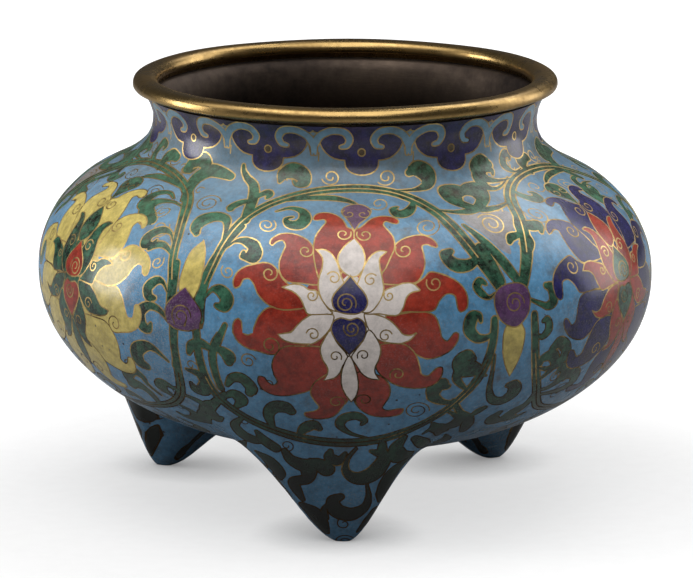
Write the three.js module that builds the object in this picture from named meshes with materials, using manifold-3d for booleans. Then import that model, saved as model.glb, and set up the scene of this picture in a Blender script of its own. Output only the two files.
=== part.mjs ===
// A low, round-bellied incense vessel on three pouched feet, with a bead ring soldered on its mouth.
// The body is one hollow casting. Its feet flow out of the underside, hollow like it, and are dressed
// flat where they stand. Millimetres, +Z up, with the origin on the ground under the middle.
import * as THREE from "three";
import { mergeVertices } from "three/addons/utils/BufferGeometryUtils.js";
import Module from "manifold-3d";

const wasm = await Module();
wasm.setup();

// Belly
const bellyRadius = 77; // at the widest section
const bellyHeight = 57.45; // of the widest section above the ground
const bowlDepth = 43.85; // from the widest section down to the bottom of the bowl
const bowlFullness = 2.08; // 2 is an ellipse, more is squarer
const bowlLift = 3; // the centre of the underside is pushed up by this
const bowlLiftRadius = 48;

// Neck and lip
const neckRadius = 47.98; // at the waist, outside
const lipRadius = 49.9; // where the neck meets the mouth ring, outside
const lipHeight = 102.4; // above the ground
const lipWidth = 2.5; // flat top of the lip, under the mouth ring
const lipChamferHeight = 1.8; // the inside of the lip falls back to the full wall over this height
const wall = 3.2; // cast wall with its enamel

// Belly and shoulder section, from the widest radius up to the waist:
// share of the rise to the lip, and share of the belly's overhang beyond the waist
const shoulderStations = [
  [0, 1],
  [0.221, 0.937],
  [0.399, 0.769],
  [0.52, 0.553],
  [0.62, 0.258],
  [0.72, 0.067],
  [0.83, 0],
  [0.908, 0.006],
];

// Feet: each is a blunt cone that flows into the bowl. Slopes are rise over run.
const footOutSlope = 3.47; // the outer flank, nearly upright
const footInSlope = 1.34; // the flank towards the middle
const footBluntness = 16.6; // larger is a rounder tip
const footFillet = 17.3; // height over which a foot and the bowl run together
const footDressing = 0.5; // taken off each tip to give it a flat to stand on
const footHollowRise = 11; // how far the hollow inside a foot stays above its outer skin
const feet = [
  { azimuth: -90.3, reach: 51, flankBefore: 1.74, flankAfter: 2.36 },
  { azimuth: 41.5, reach: 51.8, flankBefore: 2.42, flankAfter: 2 },
  { azimuth: 151.3, reach: 54.1, flankBefore: 2.29, flankAfter: 3 },
];

// The body leans a little to one side between its level feet and its level mouth.
const leanSlope = 0.0125; // drop for each millimetre towards +X
const leanFootRise = 15; // height over which the lean starts above the ground
const leanLipDrop = 9; // and over which it ends below the lip

// Mouth ring: a bead of half-elliptic section on a short square tenon
const beadRadius = 49.9; // from the axis to the middle of the bead
const beadHalfWidth = 3.2;
const beadRise = 2.6; // from its widest section up to its crest
const beadDrop = 1.2; // from its widest section down to its underside
const beadSide = 2.4; // exponent of the bead's section, 2 is an ellipse
const crestWidth = 1; // flat on top of the bead
const tenonInset = 0.4; // the tenon's faces stand inside the lip's edges
const tenonHeight = 0.6;
const seatGap = 0.3; // solder line between the lip and the ring

// Mesh steps
const columnsPerFoot = 24; // columns of the body from one foot to the next
const columnCrowding = 0.62; // draws the columns towards the feet
const rowsInsideFeet = 8;
const rowsOutsideFeet = 13;
const rowCrowding = 0.6; // draws the rows towards the circle of the feet
const rowsShoulder = 17;
const innerRowsBowl = 8;
const innerRowsShoulder = 6;
const ringColumns = 60;
const beadSteps = 10;

const radians = THREE.MathUtils.degToRad;
const smoothStep = (value, low, high) => THREE.MathUtils.smoothstep(value, low, high);

// Steps from 0 to 1 that lie closer together at the start
function crowdStart(share, crowding) {
  return share - (crowding * Math.sin(Math.PI * share)) / Math.PI;
}

// The same, closer together at the end
function crowdEnd(share, crowding) {
  return share + (crowding * Math.sin(Math.PI * share)) / Math.PI;
}

// The lower of two heights, run together where they are closer than the fillet
function filletedLower(heightA, heightB, fillet) {
  const overlap = Math.max(fillet - Math.abs(heightA - heightB), 0) / fillet;
  return Math.min(heightA, heightB) - (overlap * overlap * fillet) / 4;
}

// Height of the bowl at a distance from the axis; shrink moves its section inwards
function bowlHeightAt(radius, shrink) {
  const out = Math.min(radius / (bellyRadius - shrink), 1);
  const rise = (1 - out ** bowlFullness) ** (1 / bowlFullness);
  const lift = bowlLift * Math.max(1 - (radius / bowlLiftRadius) ** 2, 0) ** 2;
  return bellyHeight - (bowlDepth - shrink) * rise + lift;
}

// Height of one foot's blunt cone above a point of the ground
function footHeightAt(x, y, foot) {
  const azimuth = radians(foot.azimuth);
  const outward = x * Math.cos(azimuth) + y * Math.sin(azimuth) - foot.reach;
  const sideways = y * Math.cos(azimuth) - x * Math.sin(azimuth);
  const distance = Math.hypot(outward, sideways);
  if (distance === 0) return -footDressing;
  const radialSlope = outward > 0 ? footOutSlope : footInSlope;
  const flankSlope = sideways > 0 ? foot.flankAfter : foot.flankBefore;
  const along = (outward / distance) ** 2;
  const slope = radialSlope * along + flankSlope * (1 - along);
  return Math.hypot(slope * distance, footBluntness) - footBluntness - footDressing;
}

// Underside with its feet, or the inner floor with the hollows over them
function floorHeightAt(x, y, shrink, footRise) {
  let height = bowlHeightAt(Math.hypot(x, y), shrink);
  for (const foot of feet) {
    height = filletedLower(height, footHeightAt(x, y, foot) + footRise, footFillet);
  }
  return height;
}

// Outer radius of the shoulder and neck at a share of the rise from the widest section to the lip
function makeShoulder() {
  const reach = bellyRadius - neckRadius;
  const stations = shoulderStations.map(([rise, out]) => [rise, neckRadius + out * reach]);
  stations.push([1, lipRadius]);
  const steepness = stations.slice(1).map((station, index) => {
    return (station[1] - stations[index][1]) / (station[0] - stations[index][0]);
  });
  const tangents = stations.map((station, index) => {
    if (index === 0) return 0;
    if (index === stations.length - 1) return steepness[index - 1];
    const before = station[0] - stations[index - 1][0];
    const after = stations[index + 1][0] - station[0];
    return (steepness[index - 1] * after + steepness[index] * before) / (before + after);
  });
  return (share) => {
    const next = stations.findIndex((station) => station[0] >= share - Number.EPSILON);
    const index = Math.max(next - 1, 0);
    const span = stations[index + 1][0] - stations[index][0];
    const t = (share - stations[index][0]) / span;
    const rest = 1 - t;
    return stations[index][1] * (1 + 2 * t) * rest * rest
      + stations[index + 1][1] * t * t * (3 - 2 * t)
      + span * (tangents[index] * t * rest * rest - tangents[index + 1] * t * t * rest);
  };
}
const shoulderRadiusAt = makeShoulder();
const shoulderRise = lipHeight - bellyHeight;

// A point of the shoulder's section moved inwards, square to the surface
function shoulderPoint(share, inset) {
  const nudge = 0.002;
  const low = Math.max(share - nudge, 0);
  const high = Math.min(share + nudge, 1);
  const across = shoulderRadiusAt(high) - shoulderRadiusAt(low);
  const up = (high - low) * shoulderRise;
  const length = Math.hypot(across, up);
  return {
    radius: shoulderRadiusAt(share) - (inset * up) / length,
    height: bellyHeight + share * shoulderRise + (inset * across) / length,
  };
}

// Azimuths of the body's columns: one runs down the middle of each foot
function columnAzimuths() {
  const azimuths = [];
  feet.forEach((foot, index) => {
    const next = feet[(index + 1) % feet.length].azimuth;
    const span = (next - foot.azimuth + 360) % 360;
    for (let step = 0; step < columnsPerFoot; step += 1) {
      const share = step / columnsPerFoot;
      const eased = share - (columnCrowding * Math.sin(2 * Math.PI * share)) / (2 * Math.PI);
      azimuths.push(radians(foot.azimuth + span * eased));
    }
  });
  return azimuths;
}

// The lean fades out towards the ground and towards the lip
function lean(point) {
  const fromFeet = smoothStep(point.z, 0, leanFootRise);
  const fromLip = 1 - smoothStep(point.z, lipHeight - leanLipDrop, lipHeight);
  point.z -= leanSlope * point.x * fromFeet * fromLip;
  return point;
}

function floorRow(azimuths, radius, shrink, footRise) {
  return azimuths.map((azimuth) => {
    const x = radius * Math.cos(azimuth);
    const y = radius * Math.sin(azimuth);
    return lean(new THREE.Vector3(x, y, floorHeightAt(x, y, shrink, footRise)));
  });
}

function levelRow(azimuths, radius, height) {
  return azimuths.map((azimuth) => {
    return lean(new THREE.Vector3(radius * Math.cos(azimuth), radius * Math.sin(azimuth), height));
  });
}

// Radii of the underside's rows, crowded at the circle of the feet
function floorRadii(widest, rowsInside, rowsOutside) {
  const circle = feet.reduce((sum, foot) => sum + foot.reach, 0) / feet.length;
  const radii = [];
  for (let row = 1; row <= rowsInside; row += 1) {
    radii.push(circle * crowdEnd(row / rowsInside, rowCrowding));
  }
  const startAngle = Math.asin(circle / widest);
  for (let row = 1; row < rowsOutside; row += 1) {
    const share = crowdStart(row / rowsOutside, rowCrowding);
    radii.push(widest * Math.sin(startAngle + (Math.PI / 2 - startAngle) * share));
  }
  return radii;
}

function bodyRows() {
  const azimuths = columnAzimuths();
  const rows = [];
  const centre = (shrink, footRise) => [new THREE.Vector3(0, 0, floorHeightAt(0, 0, shrink, footRise))];

  rows.push(centre(0, 0));
  for (const radius of floorRadii(bellyRadius, rowsInsideFeet, rowsOutsideFeet)) {
    rows.push(floorRow(azimuths, radius, 0, 0));
  }
  for (let row = 0; row <= rowsShoulder; row += 1) {
    const point = shoulderPoint(row / rowsShoulder, 0);
    rows.push(levelRow(azimuths, point.radius, point.height));
  }
  rows.push(levelRow(azimuths, lipRadius - lipWidth, lipHeight));
  const chamferFoot = 1 - lipChamferHeight / shoulderRise;
  for (let row = innerRowsShoulder; row >= 0; row -= 1) {
    const point = shoulderPoint((chamferFoot * row) / innerRowsShoulder, wall);
    rows.push(levelRow(azimuths, point.radius, point.height));
  }
  const innerOutside = Math.ceil(innerRowsBowl / 2);
  const innerRadii = floorRadii(bellyRadius - wall, innerRowsBowl - innerOutside, innerOutside);
  for (const radius of innerRadii.reverse()) {
    rows.push(floorRow(azimuths, radius, wall, footHollowRise));
  }
  rows.push(centre(wall, footHollowRise));
  return rows;
}

// A closed skin over a list of rings of points, all of one count. The first and the last row are
// single points.
function skinRows(rows) {
  const positions = [];
  const starts = [];
  for (const row of rows) {
    starts.push(positions.length / 3);
    for (const point of row) positions.push(point.x, point.y, point.z);
  }
  const indices = [];
  for (let index = 0; index + 1 < rows.length; index += 1) {
    const below = (column) => starts[index] + (column % rows[index].length);
    const above = (column) => starts[index + 1] + (column % rows[index + 1].length);
    const columns = Math.max(rows[index].length, rows[index + 1].length);
    for (let column = 0; column < columns; column += 1) {
      if (rows[index].length > 1) indices.push(below(column), below(column + 1), above(column));
      if (rows[index + 1].length > 1) indices.push(below(column + 1), above(column + 1), above(column));
    }
  }
  const geometry = new THREE.BufferGeometry();
  geometry.setAttribute("position", new THREE.Float32BufferAttribute(positions, 3));
  geometry.setIndex(indices);
  return geometry;
}

function toSolid(geometry) {
  const bare = geometry.clone();
  bare.deleteAttribute("normal");
  bare.deleteAttribute("uv");
  const merged = mergeVertices(bare);
  const mesh = new wasm.Mesh({
    numProp: 3,
    vertProperties: new Float32Array(merged.attributes.position.array),
    triVerts: new Uint32Array(merged.index.array),
  });
  return new wasm.Manifold(mesh);
}

function toGeometry(solid) {
  const mesh = solid.getMesh();
  const geometry = new THREE.BufferGeometry();
  geometry.setAttribute("position", new THREE.Float32BufferAttribute(mesh.vertProperties, 3));
  geometry.setIndex(Array.from(mesh.triVerts));
  geometry.computeVertexNormals();
  return geometry;
}

// The body, with the ground taken off the tips of the feet so that it stands on three flats
function makeBody() {
  const width = 3 * bellyRadius;
  const ground = new THREE.BoxGeometry(width, width, bellyHeight);
  ground.translate(0, 0, -bellyHeight / 2);
  return toGeometry(toSolid(skinRows(bodyRows())).subtract(toSolid(ground)));
}

// The mouth ring: bead above, tenon below, turned about the axis
function makeRing() {
  const tenonFoot = lipHeight + seatGap;
  const widestHeight = tenonFoot + tenonHeight + beadDrop;
  const outline = [];
  outline.push(new THREE.Vector2(lipRadius - lipWidth + tenonInset, tenonFoot));
  outline.push(new THREE.Vector2(lipRadius - tenonInset, tenonFoot));
  const beadPoint = (angle, rise) => {
    const across = Math.sign(Math.cos(angle)) * Math.abs(Math.cos(angle)) ** (2 / beadSide);
    return new THREE.Vector2(
      beadRadius + beadHalfWidth * across,
      widestHeight + rise * Math.abs(Math.sin(angle)) ** (2 / beadSide) * Math.sign(Math.sin(angle)),
    );
  };
  const lowerAngles = [-50, -22];
  for (const angle of lowerAngles) outline.push(beadPoint(radians(angle), beadDrop));
  for (let step = 0; step <= beadSteps; step += 1) {
    const angle = (Math.PI * step) / beadSteps;
    if (step * 2 === beadSteps) {
      outline.push(new THREE.Vector2(beadRadius + crestWidth / 2, widestHeight + beadRise));
      outline.push(new THREE.Vector2(beadRadius - crestWidth / 2, widestHeight + beadRise));
    } else {
      outline.push(beadPoint(angle, beadRise));
    }
  }
  for (const angle of lowerAngles.slice().reverse()) outline.push(beadPoint(Math.PI - radians(angle), beadDrop));
  outline.push(outline[0].clone());
  const geometry = new THREE.LatheGeometry(outline, ringColumns);
  geometry.rotateX(Math.PI / 2);
  return toGeometry(toSolid(geometry));
}

function addPiece(group, name, geometry, finish) {
  const mesh = new THREE.Mesh(geometry, new THREE.MeshStandardMaterial(finish));
  mesh.name = name;
  group.add(mesh);
}

const censer = new THREE.Group();
addPiece(censer, "vessel", makeBody(), { color: 0x5f97bb, roughness: 0.3, metalness: 0 });
addPiece(censer, "mouth_ring", makeRing(), { color: 0xb39a5c, roughness: 0.28, metalness: 1 });

export default censer;
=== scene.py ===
import math

import bpy
import numpy as np
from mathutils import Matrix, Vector
from mathutils.geometry import delaunay_2d_cdt


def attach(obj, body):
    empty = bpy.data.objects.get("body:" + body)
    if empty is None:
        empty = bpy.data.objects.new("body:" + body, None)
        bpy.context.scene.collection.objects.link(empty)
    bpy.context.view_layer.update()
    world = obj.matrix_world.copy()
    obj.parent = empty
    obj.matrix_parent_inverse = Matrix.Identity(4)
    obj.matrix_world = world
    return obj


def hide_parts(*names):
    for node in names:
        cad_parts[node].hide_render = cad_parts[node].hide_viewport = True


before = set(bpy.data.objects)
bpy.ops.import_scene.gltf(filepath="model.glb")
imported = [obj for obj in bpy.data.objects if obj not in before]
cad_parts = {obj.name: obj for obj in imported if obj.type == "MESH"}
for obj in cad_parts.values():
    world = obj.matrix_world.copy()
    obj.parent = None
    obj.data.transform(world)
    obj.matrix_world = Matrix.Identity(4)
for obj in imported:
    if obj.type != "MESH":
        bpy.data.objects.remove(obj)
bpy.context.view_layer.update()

MM = 0.001
BELLY_RADIUS, BELLY_HEIGHT = 76.97, 57.45
BOWL_DEPTH, BOWL_FULLNESS = 43.85, 2.08
BOWL_LIFT, BOWL_LIFT_RADIUS = 3.0, 48.0
NECK_RADIUS, LIP_RADIUS, LIP_HEIGHT = 47.98, 49.9, 102.4
LIP_WIDTH, LIP_CHAMFER, WALL = 2.5, 1.8, 3.2
# Share of the rise from the widest point to the lip, and share of the belly's swell left there
SHOULDER = [
    (0, 1), (0.221, 0.937), (0.399, 0.769), (0.52, 0.553), (0.62, 0.258),
    (0.72, 0.067), (0.83, 0), (0.908, 0.006), (1, (LIP_RADIUS - NECK_RADIUS) / (BELLY_RADIUS - NECK_RADIUS)),
]
FOOT_OUT, FOOT_IN = 3.47, 1.34
FOOT_BLUNT, FOOT_FILLET, FOOT_DRESSING, FOOT_HOLLOW = 16.6, 17.3, 0.5, 11.0
# Azimuth, distance out, slopes of the two flanks
FEET = [(-90.3, 51.0, 1.74, 2.36), (41.5, 51.8, 2.42, 2.0), (151.3, 54.1, 2.29, 3.0)]
LEAN, LEAN_FOOT, LEAN_LIP = 0.0125, 15.0, 9.0
BEAD_RADIUS, BEAD_HALF_WIDTH, BEAD_RISE, BEAD_DROP, BEAD_SIDE = 49.9, 3.2, 2.6, 1.2, 2.4
TENON_INSET, TENON_HEIGHT, SEAT_GAP = 0.4, 0.6, 0.3

WIRE = 0.34  # width of a cloison wire
SEAM = 75.0  # azimuth where the unrolled skin is cut
UNDERSIDE_RADIUS = 24.0  # the ornament's ground ends here, and a plain cap closes the underside
GRID = 2.1  # spacing of the plain parts of the enamel mesh
ROW_SPACING = 0.87  # of the grid's rows, as a share of GRID
CURVE_STEP = 0.25  # spacing of the points that a curve is drawn with at first
CURVE_SAG = 0.045  # how far a curve may bulge from its straight edges
LONGEST_EDGE = 2.5
ALL_WIRE, STROKE_TIP = 0.06, 0.04  # half widths: of a stroke with no inside, and where a stroke ends
END_POINTS = 5  # round a stroke's end, for each millimetre of half width
# Of a curl: points to a turn, share of its turns that is drawn, how evenly it winds in, and the share
# of its reach that stays open in the middle
CURL_STEPS, CURL_TURNS, CURL_EASE, CURL_EYE = 40, 0.8, 0.85, 0.2
# Rings of mesh points round the tip of a foot, as multiples of the flat that it stands on
FOOT_RINGS = (0.5, 1.0, 1.25, 1.6, 2.0, 2.5, 3.2, 4.0, 5.0, 6.2, 7.6, 9.2)
FLAT_EDGE = 1.0
FOOT_COLUMNS, TOP_COLUMNS, BOTTOM_COLUMNS, SEAM_ROWS = 40, 240, 72, 60
INSIDE_SHOULDER_ROWS, INSIDE_FLOOR_ROWS, INSIDE_COLUMNS = 26, 34, 180
CAP_RINGS = (0.84, 0.66, 0.46, 0.24)  # shares of UNDERSIDE_RADIUS
FAR = 9.0  # farther than any stroke is wide
RIM_REACH = 1e-4
MERGE, AT_CUT = 1e-5, 1e-3  # how close two points are when they are one, or when a point lies on the cut
COLOURS = ["sky", "pale", "navy", "green", "red", "white", "yellow", "purple", "rose", "brown", "wire", "bronze"]


def smooth_step(value, low, high):
    t = np.clip((value - low) / (high - low), 0, 1)
    return t * t * (3 - 2 * t)


def bowl_height(radius, shrink=0.0):
    """The round underside without its feet, shrunk for the inside."""
    out = np.clip(radius / (BELLY_RADIUS - shrink), 0, 1)
    rise = (1 - out**BOWL_FULLNESS) ** (1 / BOWL_FULLNESS)
    lift = BOWL_LIFT * np.clip(1 - (radius / BOWL_LIFT_RADIUS) ** 2, 0, None) ** 2
    return BELLY_HEIGHT - (BOWL_DEPTH - shrink) * rise + lift


def foot_slope(outward, sideways, foot):
    """Steepness of a foot in the direction of a point, which blends its front, back and flanks."""
    along = outward**2 / np.maximum(outward**2 + sideways**2, 1e-12)
    radial = np.where(outward > 0, FOOT_OUT, FOOT_IN)
    flank = np.where(sideways > 0, foot[3], foot[2])
    return radial * along + flank * (1 - along)


def foot_height(x, y, foot):
    azimuth = math.radians(foot[0])
    outward = x * math.cos(azimuth) + y * math.sin(azimuth) - foot[1]
    sideways = y * math.cos(azimuth) - x * math.sin(azimuth)
    reach = foot_slope(outward, sideways, foot) * np.hypot(outward, sideways)
    return np.hypot(reach, FOOT_BLUNT) - FOOT_BLUNT - FOOT_DRESSING


def floor_height(x, y, shrink=0.0, foot_rise=0.0):
    """The underside with its feet, joined by fillets and cut flat where it stands."""
    height = bowl_height(np.hypot(x, y), shrink)
    for foot in FEET:
        other = foot_height(x, y, foot) + foot_rise
        overlap = np.clip(FOOT_FILLET - np.abs(height - other), 0, None) / FOOT_FILLET
        height = np.minimum(height, other) - overlap**2 * FOOT_FILLET / 4
    return np.maximum(height, 0)


def shoulder_radius(share):
    """A smooth curve through SHOULDER."""
    rise = np.array([s[0] for s in SHOULDER], float)
    radius = NECK_RADIUS + np.array([s[1] for s in SHOULDER]) * (BELLY_RADIUS - NECK_RADIUS)
    span = np.diff(rise)
    steep = np.diff(radius) / span
    tangent = np.zeros(len(rise))
    tangent[1:-1] = (steep[:-1] * span[1:] + steep[1:] * span[:-1]) / (span[1:] + span[:-1])
    tangent[-1] = steep[-1]
    i = np.clip(np.searchsorted(rise, share) - 1, 0, len(span) - 1)
    t = (share - rise[i]) / span[i]
    ends = radius[i] * (1 + 2 * t) * (1 - t) ** 2 + radius[i + 1] * t * t * (3 - 2 * t)
    return ends + span[i] * (tangent[i] * t * (1 - t) ** 2 - tangent[i + 1] * t * t * (1 - t))


def lean(x, z):
    """The body leans a little towards one side, but not its feet and lip."""
    fade = smooth_step(z, 0, LEAN_FOOT) * (1 - smooth_step(z, LIP_HEIGHT - LEAN_LIP, LIP_HEIGHT))
    return z - LEAN * x * fade


def run_along(radius, height):
    steps = np.hypot(np.diff(radius), np.diff(height))
    return np.concatenate([[0], np.cumsum(steps)])


# The plain section, by the distance along it from the widest point: up to the lip above 0, and down
# to the middle of the underside below 0
share = np.linspace(0, 1, 800)
upper_radius = shoulder_radius(share)
upper_height = BELLY_HEIGHT + share * (LIP_HEIGHT - BELLY_HEIGHT)
turn = np.linspace(math.pi / 2, 0, 1200)
lower_radius = BELLY_RADIUS * np.sin(turn)
lower_height = bowl_height(lower_radius)
upper_run = run_along(upper_radius, upper_height)
lower_run = run_along(lower_radius, lower_height)
SECTION = np.concatenate([-lower_run[::-1], upper_run[1:]])
SECTION_RADIUS = np.concatenate([lower_radius[::-1], upper_radius[1:]])
SECTION_HEIGHT = np.concatenate([lower_height[::-1], upper_height[1:]])
TOP = SECTION[-1]


def station_below(radius):
    """The station of the plain underside at a radius."""
    return -np.interp(radius, lower_radius[::-1], lower_run[::-1])


BOTTOM = float(station_below(UNDERSIDE_RADIUS))


def radius_at(station):
    return np.interp(station, SECTION, SECTION_RADIUS)


def skin_point(azimuth, station):
    """Points of the outer skin, by azimuth in radians and station along the plain section."""
    azimuth, station = np.broadcast_arrays(azimuth, station)
    radius = radius_at(station)
    x, y = radius * np.cos(azimuth), radius * np.sin(azimuth)
    plain = np.interp(station, SECTION, SECTION_HEIGHT)
    z = np.where(station < 0, floor_height(x, y), plain)
    return np.stack([x, y, lean(x, z)], -1)


def skin_normal(azimuth, station):
    nudge = 0.12
    turned = nudge / np.maximum(radius_at(station), 1)
    above = np.minimum(station + nudge, TOP)
    across = skin_point(azimuth + turned, station) - skin_point(azimuth - turned, station)
    up = skin_point(azimuth, above) - skin_point(azimuth, station - nudge)
    normal = np.cross(across, up)
    return normal / np.linalg.norm(normal, axis=-1, keepdims=True)


# The feet lengthen the way down the skin. Real lengths by azimuth in whole degrees, and stations by
# length, so that the ornament isn't stretched over them.
AZIMUTHS = np.radians(np.arange(-180, 181))
DOWN = np.linspace(SECTION[0], 0, 700)
down_points = skin_point(AZIMUTHS[:, None], DOWN[None, :])
down_steps = np.linalg.norm(np.diff(down_points, axis=1), axis=2)
REAL_LENGTH = np.zeros((len(AZIMUTHS), len(DOWN)))
REAL_LENGTH[:, :-1] = -np.cumsum(down_steps[:, ::-1], axis=1)[:, ::-1]
LENGTHS = np.arange(-120.0, 0.25, 0.25)
STATION_TABLE = np.array([np.interp(LENGTHS, row, DOWN) for row in REAL_LENGTH])


def between(table, azimuth, column):
    """Reads a table of rows by azimuth at a fractional column."""
    row = (np.degrees(azimuth) + 180) % 360
    i, j = np.floor(row).astype(int), np.clip(np.floor(column).astype(int), 0, table.shape[1] - 2)
    a, b = row - i, np.clip(column - j, 0, 1)
    low = table[i, j] * (1 - b) + table[i, j + 1] * b
    return low * (1 - a) + (table[i + 1, j] * (1 - b) + table[i + 1, j + 1] * b) * a


def station_of(azimuth, length):
    column = (length - LENGTHS[0]) / (LENGTHS[1] - LENGTHS[0])
    return np.where(length < 0, between(STATION_TABLE, azimuth, column), length)


def length_of(azimuth, station):
    column = (station - DOWN[0]) / (DOWN[1] - DOWN[0])
    return np.where(station < 0, between(REAL_LENGTH, azimuth, column), station)


def place(points, origin):
    """Unrolled (x, length) around an azimuth in degrees to (azimuth, station)."""
    start = math.radians(origin)
    azimuth = start + points[:, 0] / BELLY_RADIUS
    for _ in range(4):
        station = station_of(azimuth, points[:, 1])
        azimuth = start + points[:, 0] / radius_at(station)
    return azimuth, station


def curve(points, closed=False):
    """A smooth curve through points. A point given twice is a corner."""
    points = np.array(points, float)
    count = len(points)
    pieces = []
    for i in range(count if closed else count - 1):
        if closed:
            a, b, c, d = (points[(i + k) % count] for k in (-1, 0, 1, 2))
        else:
            a, b, c, d = (points[min(max(i + k, 0), count - 1)] for k in (-1, 0, 1, 2))
        span = np.hypot(*(c - b)[:2])
        if span == 0:
            continue
        t = np.linspace(0, 1, max(int(span / CURVE_STEP), 2), endpoint=False)[:, None]
        bend = (2 * a - 5 * b + 4 * c - d) * t**2 + (3 * b - a - 3 * c + d) * t**3
        pieces.append(b + 0.5 * ((c - a) * t + bend))
    if not closed:
        pieces.append(points[-1:])
    return np.concatenate(pieces)


def spiral(centre, end, turns, hand):
    """A curl that starts at end and winds in to its centre."""
    centre, end = np.array(centre, float), np.array(end, float)
    reach = end - centre
    radius, start = np.hypot(*reach), math.atan2(reach[1], reach[0])
    turns *= CURL_TURNS
    t = np.linspace(0, 1, int(CURL_STEPS * turns))
    angle = start + hand * 2 * math.pi * turns * t
    out = radius * (1 - t) ** CURL_EASE * (1 - CURL_EYE) + radius * CURL_EYE
    return centre + out[:, None] * np.stack([np.cos(angle), np.sin(angle)], -1)


def thinned(line, closed):
    """Drops the points of a curve that lie nearly straight between their neighbours."""
    keep = [0]
    for i in range(1, len(line)):
        start, end = line[keep[-1]], line[i]
        chord = end - start
        length = np.hypot(*chord)
        if length > LONGEST_EDGE:
            keep.append(i - 1)
            continue
        inner = line[keep[-1] + 1:i] - start
        if len(inner) and length > 1e-6:
            sag = np.abs(inner[:, 0] * chord[1] - inner[:, 1] * chord[0]) / length
            if sag.max() > CURVE_SAG:
                keep.append(i - 1)
    if not closed:
        keep.append(len(line) - 1)
    return line[sorted(set(keep))]


def sideways(line, closed):
    """Unit vectors square to a line, at its points."""
    if closed:
        along = np.roll(line, -1, 0) - np.roll(line, 1, 0)
    else:
        along = np.gradient(line, axis=0)
    along /= np.maximum(np.hypot(along[:, 0], along[:, 1]), 1e-9)[:, None]
    return np.stack([-along[:, 1], along[:, 0]], -1)


def bands(line, width, closed):
    """Closed outlines of a wire that runs round a stroke, or round a closed shape of no width."""
    side = sideways(line, closed)
    outlines = []
    for grow in (WIRE, -WIRE):
        if closed:
            outlines.append(thinned(line + side * grow / 2, True))
            continue
        half = np.maximum(width + grow, 0) / 2
        if half.max() <= ALL_WIRE:
            continue
        drawn = half > STROKE_TIP
        left = (line + side * half[:, None])[drawn]
        right = (line - side * half[:, None])[drawn]
        ends = []
        for at, sign in ((-1, 1), (0, -1)):
            i = np.flatnonzero(drawn)[at]
            angle = math.atan2(side[i, 1], side[i, 0])
            steps = max(int(half[i] * END_POINTS), 2)
            sweep = angle + (0 if sign > 0 else math.pi) - np.linspace(0, math.pi, steps + 2)[1:-1]
            ends.append(line[i] + half[i] * np.stack([np.cos(sweep), np.sin(sweep)], -1))
        outlines.append(np.concatenate([thinned(left, False), ends[0], thinned(right, False)[::-1], ends[1]]))
    return outlines


def flipped(points):
    return [(-x, *rest) for x, *rest in points]


def pair(points):
    """A stroke and its mirror image."""
    return points, flipped(points)


def both_sides(half, *middle):
    """A closed outline from its left half and its points on the middle line."""
    return [*half, *middle, *reversed(flipped(half))]


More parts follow.
